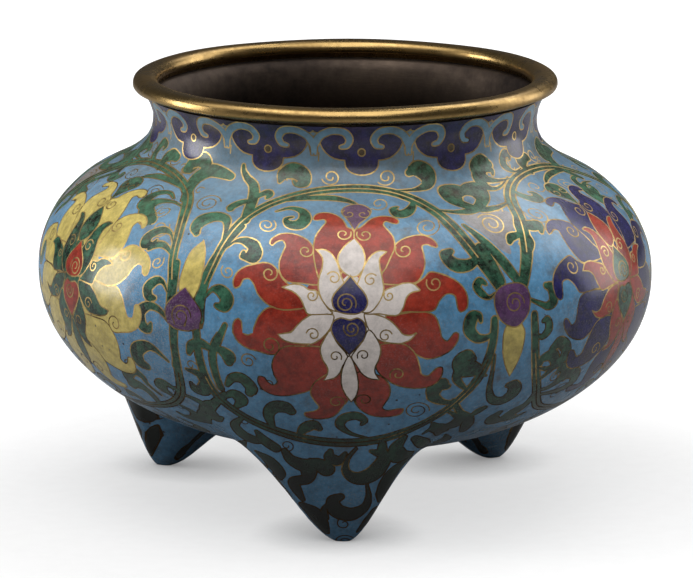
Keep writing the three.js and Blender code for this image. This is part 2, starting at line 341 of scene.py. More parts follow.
# The ornament, drawn unrolled around an azimuth: x to the right, length upwards from the widest
# section. A petal is a closed outline. A leaf or a vine is a line with a width at each point.
# A curl is its centre, its end, its turns and the way it winds.
OUTER_PETALS = [
    ([(-26.3, 2.5), (-27.3, 1), (-27.2, -1.2), (-25.8, -3.4), (-23.2, -4.8), (-20.5, -5.3), (-18, -5.9),
      (-16.2, -5.4), (-14, -3.6), (-9, -3.2), (-8, 1), (-9.5, 5.8), (-13.5, 5.5), (-18, 5.8), (-20.6, 3.8),
      (-21.8, 1.2), (-22.8, -1), (-24.4, -1.1), (-25, 0.4), (-25.2, 2)],
     ((-18, -3.6), (-16, -4.8), 1.5, 1)),
    ([(27.7, -0.6), (27.4, -2.6), (25.6, -4.8), (22.8, -6.2), (19.8, -6.6), (17.2, -5.4), (14.6, -3),
      (10, -2), (9.5, 4), (13.5, 4.8), (18, 5.2), (21.4, 4.2), (22.8, 1.6), (23.4, -1.2), (24.8, -2.3),
      (25.8, -1.2), (26.6, -0.4)], None),
    ([(-26.9, 9.7), (-27.3, 11.3), (-26.3, 13.6), (-24.2, 15.2), (-21.8, 16), (-19.6, 16.6), (-17.6, 16.2),
      (-16, 14.6), (-14.6, 12.4), (-10.5, 9), (-9.5, 6.3), (-12.5, 5.5), (-15.5, 5.4), (-18.6, 6.4),
      (-21, 8.6), (-22, 10.9), (-23.2, 12.2), (-24.7, 11.9), (-25.5, 10.3)],
     ((-18.2, 13.9), (-16.4, 14.9), 1.5, -1)),
    ([(28.6, 4.5), (29.9, 5.6), (30, 8.2), (28.6, 10.8), (26, 12.8), (22.8, 14.2), (20.4, 14.6), (19, 13.2),
      (17.2, 12), (12, 9), (11.5, 5.2), (15, 5.2), (19, 5), (21.6, 5.4), (22.9, 7.6), (24.6, 9), (26.6, 8.6),
      (27.2, 6.6), (27.6, 5)],
     ((21.6, 11.8), (19.7, 12.7), 1.5, 1)),
    ([(-20.9, -12.2), (-21.1, -14), (-19.8, -16.3), (-17.2, -17.7), (-14.2, -17.8), (-11.4, -17),
      (-8.6, -15.8), (-5, -13), (-4, -8), (-5, -3.6), (-11, -3.3), (-14.4, -3.6), (-16.6, -5.6), (-17.6, -8.4),
      (-17.2, -11.2), (-16.3, -13.4), (-17.4, -14.5), (-18.8, -13.5), (-19.5, -12.3)], None),
    ([(23.6, -9.1), (23.6, -11.2), (22.2, -13.6), (19.6, -14.9), (16.6, -15), (13.4, -14.3), (10.6, -12.6),
      (7.5, -9), (7.6, -3.4), (11, -2.2), (14.5, -2.8), (16.8, -5), (17.9, -8), (18.4, -10.6), (19.9, -11.3),
      (21.2, -10.2), (22.2, -9.2)],
     ((12.6, -10.6), (10.9, -11.6), 1.5, -1)),
    ([(-18.2, 21.9), (-17.6, 23.4), (-15.5, 24.9), (-12.8, 25.2), (-10.2, 24.3), (-8.4, 22.8), (-7.3, 20.6),
      (-6.2, 17), (-5.8, 12), (-10, 11.9), (-13.8, 12.2), (-15.6, 14.2), (-15.8, 17), (-15, 19.5),
      (-14.3, 21.4), (-15, 22.9), (-16.4, 22.5), (-17.5, 21.4)],
     ((-9.4, 20.3), (-7.6, 20.9), 1.5, -1)),
    ([(22.4, 21), (22.2, 22.3), (20.6, 24), (18.3, 24.9), (15.8, 24.6), (13.6, 23.7), (12, 22.2), (11, 19.5),
      (9.6, 16.5), (8.5, 12.5), (12, 11.8), (16.5, 12), (18.3, 13.5), (19.3, 16.5), (19, 19.5), (18.6, 21.5),
      (19.8, 22), (21.2, 21.3)],
     ((14.2, 20.6), (12.2, 21.6), 1.5, 1)),
    ([(-9.7, -23.2), (-9.2, -24.6), (-6.8, -25.3), (-3.6, -24.8), (-1.8, -23.2), (-0.4, -20.6), (0.9, -18),
      (0.8, -12), (-2, -9.5), (-5.5, -11.4), (-7.6, -13.6), (-8.3, -16.6), (-7.2, -19.4), (-6.2, -21.3),
      (-7.4, -22.6)],
     ((-2, -19.4), (0.1, -20), 1.5, 1)),
    ([(14.1, -22.1), (13.4, -24), (10.8, -24.7), (7.8, -24.5), (5.4, -23.5), (3.2, -21.2), (2, -18),
      (1.8, -12), (4, -9.5), (8.5, -11), (10.6, -13.6), (10.8, -16.8), (9.8, -19.5), (9, -21.4), (10.2, -22.4),
      (12.4, -22)],
     ((4.6, -18.6), (2.8, -20), 1.5, -1)),
    ([(-7.5, 30.1), (-7.5, 31.4), (-6.4, 32.8), (-4.4, 33.2), (-2.4, 32.5), (-0.9, 31), (0, 29.3),
      (0.5, 27.8), (1.9, 26.9), (2.2, 24), (1, 18), (-3, 12), (-6, 13), (-7.2, 17), (-7.6, 21), (-7.1, 24.5),
      (-5.8, 27.2), (-4.6, 29.3), (-5.1, 30.4), (-6.5, 30)],
     ((-0.4, 25.5), (1.4, 26.2), 1.5, -1)),
    ([(12.6, 28.8), (12.9, 30), (11.5, 31.4), (9, 31.9), (6.7, 31.2), (5.2, 29.7), (3.8, 27.8), (2.3, 26.8),
      (2.2, 24), (3, 18), (5, 13), (9, 15), (10.8, 18.5), (11.9, 21.5), (11.6, 24.5), (10.2, 26.8), (9.2, 28.6),
      (9.8, 29.8), (11.4, 29)],
     ((4.7, 25.3), (2.9, 26.2), 1.5, 1)),
]
INNER_PETALS = [
    ([(-16.1, -0.6), (-16.1, -0.6), (-13, 0.1), (-11.6, 1.6), (-10, 3.2), (-7.6, 4.6), (-4, 4.7), (-2.6, 4.2),
      (-3.4, 1.5), (-5, -0.6), (-6.4, -1.8), (-8, -2.6), (-10.4, -2.7), (-13, -2.5), (-15, -1.8)],
     ((-7.6, -0.3), (-9.2, 0.1), 1.5, -1)),
    ([(17.3, 0.2), (17.3, 0.2), (15.6, -0.5), (13.8, -0.1), (12.6, 1.4), (10.8, 3.2), (8.4, 4.4), (5, 4.9),
      (4.6, 4.2), (5.4, 1.6), (6.8, -0.4), (8.4, -1.6), (10.6, -2.2), (13.2, -2.4), (15.6, -1.6)],
     ((9.6, -0.5), (11.2, 0), 1.5, 1)),
    ([(-15.1, 10.7), (-15.1, 10.7), (-12.6, 11.6), (-10.2, 11.4), (-8.6, 10.4), (-6.8, 10.2), (-5.4, 8),
      (-4, 6), (-3, 4.9), (-6, 4.6), (-8.8, 4.6), (-9.6, 6), (-10.6, 8.2), (-12.4, 9.8)],
     ((-7.9, 9), (-6.7, 9.8), 1.5, -1)),
    ([(18.2, 10.2), (18.2, 10.2), (16.4, 11.9), (14, 12.1), (11.6, 11.3), (9.8, 10.6), (8.4, 9), (7, 6.6),
      (5.2, 4.9), (8, 4.9), (11, 4.4), (12.8, 4.6), (14, 6.4), (14.7, 8.6), (16, 9.8)],
     ((10.5, 9.1), (9.4, 9.8), 1.5, 1)),
    ([(-5.1, -12.4), (-5.1, -12.4), (-4.2, -10.4), (-4.2, -8.6), (-5.4, -6.4), (-5.9, -3.8), (-5, -1.4),
      (-3.4, 0.8), (-2, -2), (0, -4.4), (0.6, -6), (-0.6, -8.2), (-1.2, -10), (-2.6, -11.6)],
     ((-2.3, -5.7), (-0.9, -6.4), 1.4, 1)),
    ([(8.3, -12.1), (8.3, -12.1), (7.2, -10.2), (7.2, -8.4), (8.2, -6), (8.5, -3.4), (7.4, -0.8), (5.6, 1),
      (4, -2), (2.2, -4.4), (1.6, -6), (3, -8.4), (4, -10.2), (5.8, -11.6)],
     ((4.4, -5.3), (3, -6), 1.4, -1)),
    ([(-6.8, 20.7), (-6.8, 20.7), (-5.4, 18.6), (-5.4, 16), (-6.2, 13.3), (-6.3, 10.5), (-5.2, 7.6), (-3, 5.6),
      (0, 6), (0.6, 10), (-0.9, 13.8), (-1.8, 17.2), (-3.4, 19.9), (-5.2, 20.9)],
     ((-2.7, 13.4), (-4.2, 14.3), 1.5, -1)),
    ([(10, 20.3), (10, 20.3), (8.3, 18.6), (8.3, 16.2), (8.9, 13.2), (9.2, 10.4), (8, 7.4), (5.8, 5.2), (3, 6),
      (2.4, 10), (3.6, 13.8), (4.9, 17.2), (6.4, 19.5), (8.3, 20.6)],
     ((6.1, 13), (7.4, 14.1), 1.5, 1)),
    ([(2.2, 24.3), (2.2, 24.3), (-0.2, 21.8), (-1.7, 18.9), (-1.2, 16), (0.6, 14.2), (2.4, 13.8), (4, 15.2),
      (4.8, 18), (4.2, 21.2)], None),
    ([(1, -5.4), (-0.2, -7.5), (-0.9, -10.5), (-0.8, -14), (0.2, -17), (1.5, -19.3), (1.5, -19.3), (2.7, -17),
      (3.2, -14), (2.9, -10.5), (2.1, -7.5)], None),
]
# Ground that closes the gaps between petals, under the petals of either colour
OUTER_GROUND = [(-11, 4.6), (-9, 11), (-3, 16.6), (1.6, 18), (6.4, 16.4), (12.6, 11), (14, 4.6), (11.6, -2.6), (7, -8),
                (1.4, -10), (-4, -8), (-8.6, -2.6)]
INNER_GROUND = [(-7, 4.6), (-5, 9), (-1.6, 12), (1.6, 14.6), (4.6, 12), (8, 9), (9.6, 4.6), (7.6, 0.6), (4.6, -2.4),
                (1.2, -5.6), (-2.2, -2.4), (-5.2, 0.6)]
HEART = [
    ([(1.3, 14.1), (1.3, 14.1), (-0.6, 11.8), (-2.6, 9.6), (-3.1, 7.6), (-2.2, 5.7), (0, 4.9), (2.8, 4.9),
      (4.7, 5.9), (5.4, 7.8), (4.6, 9.9), (2.9, 11.9)], ((0.2, 7.4), (2.5, 6.4), 2.2, 1)),
    ([(1.2, 3.4), (-1, 3.9), (-2.8, 2.9), (-3.3, 1), (-2.4, -1.2), (-0.6, -3.3), (1, -5.2), (1, -5.2),
      (2.6, -3.4), (4.4, -1.4), (5, 0.8), (4.6, 2.7), (3, 3.9)], ((1.6, 1.3), (-0.3, 2), 2, 1)),
]
CAP = [
    ([(-0.9, 33.4), (-0.3, 35.2), (1.2, 36.3), (3, 36.6), (4.8, 36), (6.2, 34.4), (6, 32.6), (4.9, 30.8),
      (3.4, 29), (2.3, 26.8), (1.3, 29), (0.3, 31)], ((0.9, 32.8), (-0.1, 34.2), 1.3, 1)),
]
CAP_CURL = ((4.4, 32.7), (5.5, 34.1), 1.3, -1)

# Vines and leaves of one flower
ARCH = [
    [(-35.9, 1, 2), (-35.8, 5, 2.2), (-34.8, 10, 2.2), (-33, 14, 2.2), (-30.5, 19.5, 2.2), (-28, 24, 2.3),
     (-25.3, 28, 2.4), (-22, 32, 2.4), (-17.5, 36, 2.3), (-11, 39.4, 2.2), (-4, 41.3, 2.3), (4, 41.8, 2.4),
     (11, 40.6, 2.3), (17, 37.6, 2.6), (22, 33, 2.8), (26, 27.5, 3), (29.5, 22.5, 3), (33, 17.5, 3),
     (36, 13.5, 2.8), (38.5, 10, 2.6)],
    [(-14, 37.3, 1.2), (-9, 38.4, 1.7), (-3, 38.6, 1.9), (1, 37.6, 1.3), (2.8, 36.4, 0.8)],
    [(-37, -1, 2), (-36.4, -8, 2.2), (-34.8, -14, 2.2), (-32.4, -19, 2.2), (-29, -23, 2.2), (-24, -26.6, 2.2),
     (-18, -29.2, 2.3), (-10, -31.6, 2.4), (-2, -32.8, 2.4), (6, -32.4, 2.4), (13, -31, 2.4), (19.5, -28.4, 2.2),
     (24.6, -24, 2.2), (28.6, -19.2, 2.2), (32.5, -14, 2.2), (35.6, -8, 2.2), (37, -2, 2.2), (37.2, 2, 2)],
]
FLOWER_LEAVES = [
    [(-16.8, 32.6, 0.5), (-13.4, 34.3, 1.2), (-10.4, 33.4, 2.4), (-9.6, 30.6, 3.2), (-11, 28.2, 3.4),
     (-13.4, 28.2, 2.8), (-14.2, 30, 1.4), (-12.6, 30.9, 0.8)],
    [(-29.6, 19.3, 0.5), (-27, 21.6, 1), (-23.8, 21.9, 2.6), (-21.6, 19.8, 3.2), (-22.2, 17.6, 3),
     (-24.2, 17.6, 1.8), (-24.6, 19, 1)],
    [(-34.9, 6.4, 0.4), (-32.6, 8.9, 1.2), (-30.3, 8.9, 2.6), (-28.6, 7, 3), (-29.4, 5, 2.6), (-31.2, 4.8, 1.4)],
    [(16.6, 38.6, 0.6), (16.4, 35.4, 2.2), (15, 33, 3.2), (12.8, 32.6, 3), (11.6, 34.4, 2), (12.6, 35.2, 1)],
    [(27.5, -20.3, 0.6), (24.2, -20.2, 1.6), (21.5, -17.8, 3.2), (21.8, -14.6, 3.6), (24, -13.6, 2.6),
     (24.6, -15, 1.4)],
    [(-17.6, -28.6, 1.4), (-18.6, -24.5, 2.8), (-17.2, -21.8, 3.8), (-14.6, -21.6, 3.6), (-12.9, -23, 2.2)],
    [(-11.5, -31, 0.8), (-9.8, -28.4, 3), (-7.6, -27.2, 3), (-6.2, -28.4, 1.6)],
    [(5.6, -31.4, 0.4), (1.2, -29.8, 1), (-1.2, -27.2, 2.2), (-0.2, -24.8, 2.6), (2.6, -24, 2.6),
     (4.6, -25.6, 1.8), (4, -27, 0.8)],
    [(-25, -26.2, 1), (-27.4, -30, 2.6), (-25.4, -33.6, 3.8), (-21.8, -34, 2.8), (-20.8, -32, 1.4)],
    [(25.4, -24.4, 1), (28.4, -28, 2.6), (27, -31.8, 3.8), (23.4, -32.8, 2.8), (22, -31, 1.4)],
    [(-31, -21.6, 1), (-35, -24, 2.6), (-35.4, -28, 3.6), (-32.4, -30, 2.6), (-31, -28.6, 1.4)],
    [(30.4, -17, 1), (27.4, -12.8, 2.4), (29.4, -9.4, 3.2), (32.6, -9.8, 2.4), (32.4, -11.6, 1.2)],
    [(-30.6, -20.6, 1), (-27.6, -18.4, 2.6), (-25.4, -20.4, 3.4), (-26.6, -22.6, 1.8)],
    [(-16.1, 42.9, 1), (-15.2, 45, 3), (-12.8, 46.2, 4.2), (-10.4, 45.3, 4.2), (-10, 43.2, 3), (-11.8, 42.6, 1.6),
     (-12.6, 43.6, 0.8)],
    [(11.5, 41, 0.5), (17, 41, 1.2), (20.4, 42.4, 3.4), (20.4, 45.2, 4.4), (17.8, 46.9, 4), (15.8, 46, 2.2)],
    [(22.5, 33.4, 0.6), (28, 32, 1.6), (33, 32.4, 3.2), (35.6, 35.8, 4.4), (34.2, 39, 5), (31.2, 39.8, 4.2),
     (29.6, 39.2, 3)],
]
FLOWER_CURLS = [
    ((-19, 27.4), (-17.2, 29), 2, -1), ((-28.7, 13.5), (-30, 14.8), 1.6, 1), ((20, 27.4), (22.8, 29), 2.2, -1),
    ((17.4, -23), (20.6, -23.6), 2.4, 1), ((-25, -28), (-26.4, -29), 1.5, -1), ((-3.4, 45), (-5.6, 44.4), 1.8, 1),
    ((10, 45), (8, 43.6), 1.8, 1), ((8.2, 36.6), (6.4, 35), 1.6, 1),
    ((-19, -14), (-20.6, -16), 0.8, 1),
]

# The upright bud between two flowers
UPRIGHT_PETALS = [
    ("yellow", [(2.2, 20.9), (2.2, 20.9), (0, 17.5), (-0.8, 13), (-0.8, 8), (1.8, 4), (4.4, 8), (4.7, 13),
                (4, 17.4)], None),
    ("purple", [(0.9, 8.7), (0.9, 8.7), (-1.5, 6.5), (-3.8, 4), (-4.3, 1.8), (-3.5, -0.4), (-1.5, -1.7),
                (1, -2), (3.2, -1.8), (5.1, -0.7), (6, 1.4), (5.7, 3.6), (3.4, 6.1)],
     ((0.2, 1.4), (3.2, 1.4), 2.2, 1)),
]
UPRIGHT_LEAVES = [
    [(-2.6, 2, 2), (-2.4, 8, 2.2), (-3, 14, 2.2)],
    [(4.6, 2, 2), (5.1, 8, 2.2), (6.2, 14, 2.2), (8, 20, 2.2), (10, 26, 2.2)],
    [(-10.3, 33, 2.2), (-11.5, 38, 3.4), (-11, 41.4, 4.2), (-8, 43.8, 4), (-4, 43.6, 3.2), (-1.6, 43, 2.4)],
    [(10, 28, 2.4), (8.6, 33, 2.8), (7.2, 38, 2.8), (5.4, 41.4, 2.4), (3, 43.2, 1.9), (1.3, 45, 1.4),
     (0.7, 46.5, 1.1)],
    [(7.6, 37, 1.6), (9.8, 39.2, 2.2), (11.1, 38.6, 2), (11, 37.6, 1.4)],
    [(8, 36, 1.6), (5.4, 35, 2.4), (4, 33, 2.6), (4.2, 31.8, 1.8)],
    [(-9.3, 30.4, 0.6), (-13, 31.4, 1), (-17.4, 30.4, 2.4), (-19.4, 27.6, 4.6), (-17.6, 24.8, 5.4),
     (-15.4, 24.4, 3)],
    [(-4, 14.5, 0.5), (-6, 16.8, 1.2), (-8.5, 18.1, 1.8), (-11, 17.7, 2), (-12.5, 16.4, 1.3)],
    [(7.4, 20, 0.8), (6.6, 25, 1.5), (5, 28, 2.4), (2, 28.6, 3.5), (-0.8, 27, 4.2), (-1.6, 24.5, 3.4),
     (-0.6, 22.6, 1.8)],
    [(9.2, 19.8, 0.4), (10.6, 22, 1), (13, 22, 2.4), (15.6, 20.5, 3), (15.4, 18.2, 2.8), (13.7, 17.8, 1.6),
     (13.4, 19, 0.9)],
    [(6.2, 6.6, 0.4), (8, 8.7, 1), (10.4, 8.5, 2.4), (12.2, 6.8, 3), (11.3, 5, 2.4), (9.8, 5.1, 1.3)],
    [(-27, 41, 1.6), (-26.5, 44, 3), (-24, 45.5, 3.4), (-21.8, 45.3, 2.6)],
    [(12.3, 0.6, 1.3), (10.4, -3, 2.4), (8.6, -6.6, 2.2), (8.2, -12, 2), (8.4, -17, 2)],
    [(9, -5.4, 1.4), (11, -5.9, 2.4), (12.7, -7.3, 3.6), (12.5, -8.8, 2.2)],
    [(8.8, -6, 1.6), (5.6, -4.6, 2.4), (3, -5.6, 2.6), (2, -7.6, 1.4)],
    [(-3, -0.6, 0.6), (-5.6, 2, 1.5), (-9, 2.8, 2.2), (-11.8, 0.9, 3.2), (-11.4, -2.2, 3.2), (-9.4, -3, 2.3),
     (-8.6, -1.6, 1.1)],
    [(-4.6, -11, 0.6), (-8, -8.2, 1.6), (-11, -7.7, 3), (-14.2, -9.5, 4.2), (-14.3, -12.6, 3.8),
     (-12.2, -13.8, 2.4)],
    [(-12, -24, 0.8), (-14.6, -20.5, 1.3), (-15.4, -17.8, 2.2), (-18, -16.5, 3.2), (-20.9, -18.5, 3.8),
     (-20.6, -21.4, 3.4), (-19, -22.4, 1.8)],
    [(0.2, -12.4, 0.8), (3.4, -13.4, 2.4), (4.6, -16, 3.4), (3, -18.6, 3.8), (0.8, -18.8, 2.6), (0.3, -16.8, 1.2)],
    [(9, -19, 2), (5, -22.6, 2.4), (2, -26, 2.8), (-1.6, -30, 4), (-3, -34, 3)],
    [(10.4, -15.8, 1.2), (12.4, -13.4, 2.4), (15, -13.2, 3.2), (16.6, -15.8, 3.2), (15.6, -17.8, 2)],
    [(-1, -1.8, 1), (-1.8, -7, 1.4), (-3, -12, 1.6)],
]
UPRIGHT_CURLS = [
    ((-11.5, 22.3), (-9.4, 24), 2, -1), ((-3, 33), (0.1, 34.4), 2.4, 1),
    ((-21.6, 33.3), (-19.4, 35.2), 2, 1),
    ((-17, 42.6), (-18.6, 43.6), 1.5, -1), ((-5, -20.8), (-3, -20.4), 2, 1), ((17.6, -8), (19.6, -7.4), 1.8, 1),
    ((-8, 37), (-7, 38.2), 1, 1), ((2, -11), (3.4, -10.6), 1.2, 1),
]

# The hanging bud where two arches meet
HANGING_PETALS = [
    ("yellow", [(0.8, -13.7), (0.8, -13.7), (-1.5, -10), (-2.8, -6), (-2.8, -1), (0, 2), (2.9, -1), (3.1, -4.4),
                (2.3, -8.8)], None),
    ("purple", [(-4.6, 8.4), (-2.6, 9.8), (0, 10.3), (2.8, 10), (4.6, 8.6), (5.1, 6), (4.4, 3), (2.8, 0.9),
                (0.6, -0.4), (-2, 0.3), (-4, 1.9), (-5.1, 4.4), (-5.2, 6.6)], ((0.4, 5.4), (3.2, 5.2), 1.9, 1)),
]
HANGING_LEAVES = [
    [(-6.4, 27, 1.2), (-3.4, 21.5, 2.6), (-0.6, 16, 3), (1.8, 11.5, 2.6), (3.4, 9.2, 2)],
    [(-2.4, 11, 2.4), (-3.6, 15, 2.8), (-5, 20, 3)],
    [(12.6, 33.6, 2), (10, 28.6, 2.2), (8.6, 25, 3), (7.4, 22.6, 2), (4.6, 22, 2.6), (3.4, 20.6, 1.6)],
    [(9, 25.4, 2), (12, 24.4, 3.4), (14.6, 24, 3), (14.4, 22.2, 1.6)],
    [(8.6, 24, 2.2), (9.8, 20, 2), (8.2, 17.6, 1.8), (7.4, 15.6, 1.1)],
    [(16, 41.4, 0.6), (12, 39.2, 1), (9, 38.8, 1.6), (7, 40.4, 3.2), (7, 43.4, 4), (9.5, 45.2, 3),
     (11.8, 44.3, 1.9), (11.5, 43, 1)],
    [(23, 43, 0.6), (19.6, 42.6, 1), (17, 45, 2.6), (18, 47.6, 2.4), (20.2, 47.3, 1.9), (19.8, 46.2, 1.1)],
    [(-6, 20.6, 0.5), (-7.2, 17.4, 1.8), (-10, 15.8, 3), (-13.4, 16.1, 3.8), (-14.8, 18.6, 3.2), (-13, 19.8, 1.6)],
    [(-4.6, 8.4, 0.4), (-6.4, 7.4, 1), (-8.2, 8.4, 2), (-9.2, 10.2, 2.2), (-8, 11.6, 1.9), (-6.8, 10.8, 1.1)],
    [(-5, 0.4, 0.5), (-7, -2, 1.4), (-10, -2.2, 2.4), (-12.2, 0, 3.2), (-11.5, 2.9, 3.2), (-9.7, 3.3, 1.9),
     (-9.2, 1.9, 1)],
    [(-6, -12.6, 0.5), (-9, -11.6, 1.6), (-12.5, -10.7, 3.2), (-14.1, -8, 3.8), (-12.3, -6.3, 2.9),
     (-10.6, -7.5, 1.7)],
    [(-11, -21.4, 1), (-15.5, -20.2, 2), (-18.4, -17.8, 3.2), (-17.9, -15, 3.4), (-15.7, -15, 1.9)],
    [(-5, -7, 0.8), (-4.6, -12, 1), (-3.9, -17, 1.5), (-1.5, -21.2, 2.4), (2, -22.2, 3.6), (4.1, -19.5, 4.2),
     (3, -16.7, 3.2), (1.2, -16.6, 1.5)],
    [(8, -12, 0.6), (12.5, -13.2, 1.5), (16.4, -11.8, 3), (17.4, -8.3, 3.4), (14.8, -6.2, 3.2), (12.4, -7.5, 2)],
    [(5.6, -2.6, 0.6), (8.5, -3.8, 1.5), (10.6, -2, 2.4), (10, 0.3, 1.9), (8.7, 0.1, 1)],
    [(4.6, 6, 0.8), (8, 4.4, 1.2), (10.2, 3.6, 2), (12.2, 4.6, 2.8), (12.2, 7.6, 3), (10.4, 8.5, 1.7)],
    [(14, -22.5, 1), (21, -22.4, 1.9), (24.8, -20.5, 3.2), (24.3, -17.2, 3.8), (21, -16.7, 3.2),
     (20.4, -18.3, 1.5)],
    [(-12.4, -20, 1.6), (-8.8, -25, 1.8), (-5, -28.4, 2.6), (-3.2, -32.8, 3.4), (-2, -37, 2)],
    [(-4.6, -28, 1.6), (-3.4, -25.6, 2.6), (-2.4, -24.6, 2)],
    [(12, -20, 2), (11.4, -25, 2.4), (9, -30.6, 3), (5.4, -33, 4), (3, -30.6, 3.6), (3.8, -28, 2)],
    [(-15, -33, 1), (-12, -31.4, 2.6), (-10, -34, 3.4), (-9, -36.4, 2)],
]
HANGING_CURLS = [
    ((1.2, 26.6), (-1.4, 29.2), 2.4, -1), ((5.6, 31.3), (6.6, 30.3), 1.4, 1),
    ((16.2, -16.5), (18.2, -16.9), 2, 1), ((-21, -1), (-22.4, -2), 1, 1),
    ((6.4, 20), (7.4, 20.8), 1, -1),
]
ROSE_PATCH = [(-3.4, 25), (-5.6, 28), (-5.4, 31), (-1, 30.4), (4, 31.6), (8.4, 29.6), (7.6, 25), (3.6, 22),
              (2.6, 17.6), (0.4, 18.6), (-1.6, 22)]

# The leaves on a foot and on the underside between the feet
FOOT_LEAVES = [
    # The scroll in the middle of a foot
    [(5.6, -45.6, 0.6), (6, -49.4, 1.4), (5, -52.6, 2.6), (1.6, -54.2, 3.8), (-1.8, -53, 4), (-2.6, -50.2, 3.2),
     (-0.8, -49, 2)],
    [(-3.6, -50.6, 0.6), (-4.8, -53, 1.6), (-4.4, -55.4, 1.6)],
    [(3, -34.6, 0.8), (0.8, -38, 1.2), (0.6, -41.6, 2.2), (3.4, -43.6, 3.6), (7.2, -42.6, 4.6), (9.6, -39.2, 4),
     (9.8, -36.6, 2)],
    [(-14.4, -36, 1.8), (-12.8, -38.6, 3), (-9.4, -40, 4), (-6.4, -39.4, 3.6), (-4.2, -40.8, 4.2)],
    [(-4.4, -40, 2.4), (-2.6, -37.4, 1.8), (-0.6, -38.4, 1)],
    [(-8, -38.4, 1.6), (-8.4, -41.4, 4), (-9, -44, 3), (-12, -45.4, 2.8), (-11.8, -47.6, 3), (-10.2, -50.6, 1.6)],
    [(-9.8, -53, 2.6), (-7.4, -54.4, 4.2), (-5.6, -57.2, 3.8), (-4.4, -60, 1.8)],
    [(-21.4, -30.8, 1.2), (-19.4, -33.6, 3), (-16.8, -35.4, 3)],
    [(-21.6, -39, 1.2), (-18.6, -40.6, 3.8), (-16.2, -43.6, 4), (-16, -46, 1.8)],
    [(14.8, -32.6, 1.6), (12.8, -35.6, 3.6), (13.4, -38.8, 4.4), (16, -40.4, 2.6)],
    [(16.4, -42, 1), (13.2, -43, 3), (11, -45.6, 4), (9.4, -49.4, 3.2), (9, -52.4, 1.4)],
    [(17.4, -34, 2), (19.4, -37.6, 3.4), (20.6, -42, 2.2)],
    [(22, -29.4, 1.2), (23, -32.2, 4), (24.8, -34.6, 3)],
    [(3.4, -60, 0.8), (5.6, -57.6, 2.2), (7.4, -54.6, 1.6)],
    [(-17.6, -47, 1), (-15.8, -50, 3), (-14.4, -53.4, 3.6), (-14.6, -57, 1.6)],
    [(-24.6, -36.4, 0.8), (-25.6, -40, 2.6), (-24, -43.6, 4), (-21.2, -45.4, 3.4), (-19.6, -44.2, 1.6)],
    [(-27.6, -47, 0.8), (-24.8, -50.2, 2.4), (-22, -52.4, 3.8), (-19.4, -56.4, 3.2), (-18.8, -60, 1.4)],
    [(16.6, -46.6, 1), (15.4, -50.4, 3.4), (13.2, -53.8, 3.8), (12.8, -57.4, 1.8)],
    [(25.6, -38.4, 0.8), (26, -42, 2.8), (24, -45.4, 4), (21.4, -46.4, 3), (20.4, -45, 1.4)],
    [(27, -50, 1), (23.6, -51.4, 2.8), (21, -54.4, 3.8), (19.6, -58.6, 2)],
    [(0.4, -36, 1), (-1.4, -38.6, 2.4), (-3.4, -37.2, 2.8), (-3.2, -35.4, 1.4)],
    [(6.6, -35.6, 1), (9, -36.4, 2.6), (9.4, -33.8, 2)],
    *pair([(-8.6, -63, 1), (-9.6, -67, 3.4), (-6.6, -70.4, 4), (-3.4, -69.6, 2.6), (-3.6, -67.4, 1.2)]),
    [(-2.4, -76, 1), (-5.4, -79, 2.6), (-5.2, -82.6, 3), (-2, -83.4, 1.6)],
    [(4.6, -75, 1), (6.6, -78.6, 3), (5.2, -81.6, 1.8)],
    *pair([(-15, -62, 1), (-17.2, -66, 3.4), (-14.4, -69.6, 3), (-12.6, -68, 1.4)]),
]
FOOT_CURLS = [((-13.8, -34.2), (-15.6, -35), 1.8, 1), ((0, -57), (1.8, -56), 1.6, 1),
              ((10, -53), (11, -51.6), 1.2, -1), ((0, -63), (2.2, -62), 2, 1),
              ((-22, -48.4), (-23.8, -47.6), 1.6, 1), ((20.6, -50.4), (22.4, -49.4), 1.6, -1),
              ((-12.6, -60), (-11, -59), 1.6, 1), ((12.6, -60.6), (11, -59.6), 1.6, -1)]
UNDERSIDE_LEAVES = [
    *pair([(-10, -33, 0.6), (-12, -36.6, 1.4), (-10.6, -39.6, 3), (-7.4, -40, 3.4), (-6.2, -37.6, 2)]),
    [(0, -34, 1.2), (-0.6, -40, 2.4), (0.8, -46, 3.2), (0, -51, 1.4)],
    *pair([(-16.6, -36, 0.8), (-18, -40.6, 2.6), (-15.4, -44, 3.8), (-12.4, -43.4, 2.4), (-12.4, -41.4, 1.2)]),
    *pair([(-4, -52, 1), (-6.6, -55, 3), (-5.4, -58.6, 3.4), (-2.8, -58, 1.4)]),
    *pair([(-12.4, -48.6, 1), (-15, -50.4, 2.6), (-14.2, -53.6, 3.4), (-11.4, -54, 1.6)]),
]
UNDERSIDE_CURLS = [((-9, -48), (-6.4, -46.6), 2, -1), ((9, -48), (6.4, -46.6), 2, 1), ((0, -60), (2.4, -58.4), 2, 1)]

# The collar of cloud heads under the lip
CLOUD_HEAD = both_sides([(-9.2, 62), (-10.4, 58), (-10.2, 54), (-9.2, 51.6), (-7.2, 49.9), (-5, 49.3),
                         (-4.1, 49.3), (-4.1, 49.3), (-3.9, 47.6), (-2.5, 46.2)], (0, 45.6))
CLOUD_TOP = both_sides([(-12.6, 62), (-12.6, 58), (-12, 57), (-9, 56.2)])
CLOUD_HOOK = [(12, 50.6, 0.8), (11.5, 52.8, 1.9), (10.2, 55.4, 2.1), (7.4, 57, 2.1), (4.4, 56.6, 2), (3, 54.6, 1.8),
              (3.6, 52.9, 1.5), (5, 52.5, 1)]
CLOUD_DOT = [(1.15, 0), (0.8, 0.8), (0, 1.15), (-0.8, 0.8), (-1.15, 0), (-0.8, -0.8), (0, -1.15), (0.8, -0.8)]
CLOUD_DOT_HEIGHT, CLOUD_DOT_SIZE = 51.2, 0.8
CLOUD_TICK = [(12.8, 49), (12.8, 50), (12.8, 51)]
CLOUD_HEADS, CLOUD_START = 13, -85.2

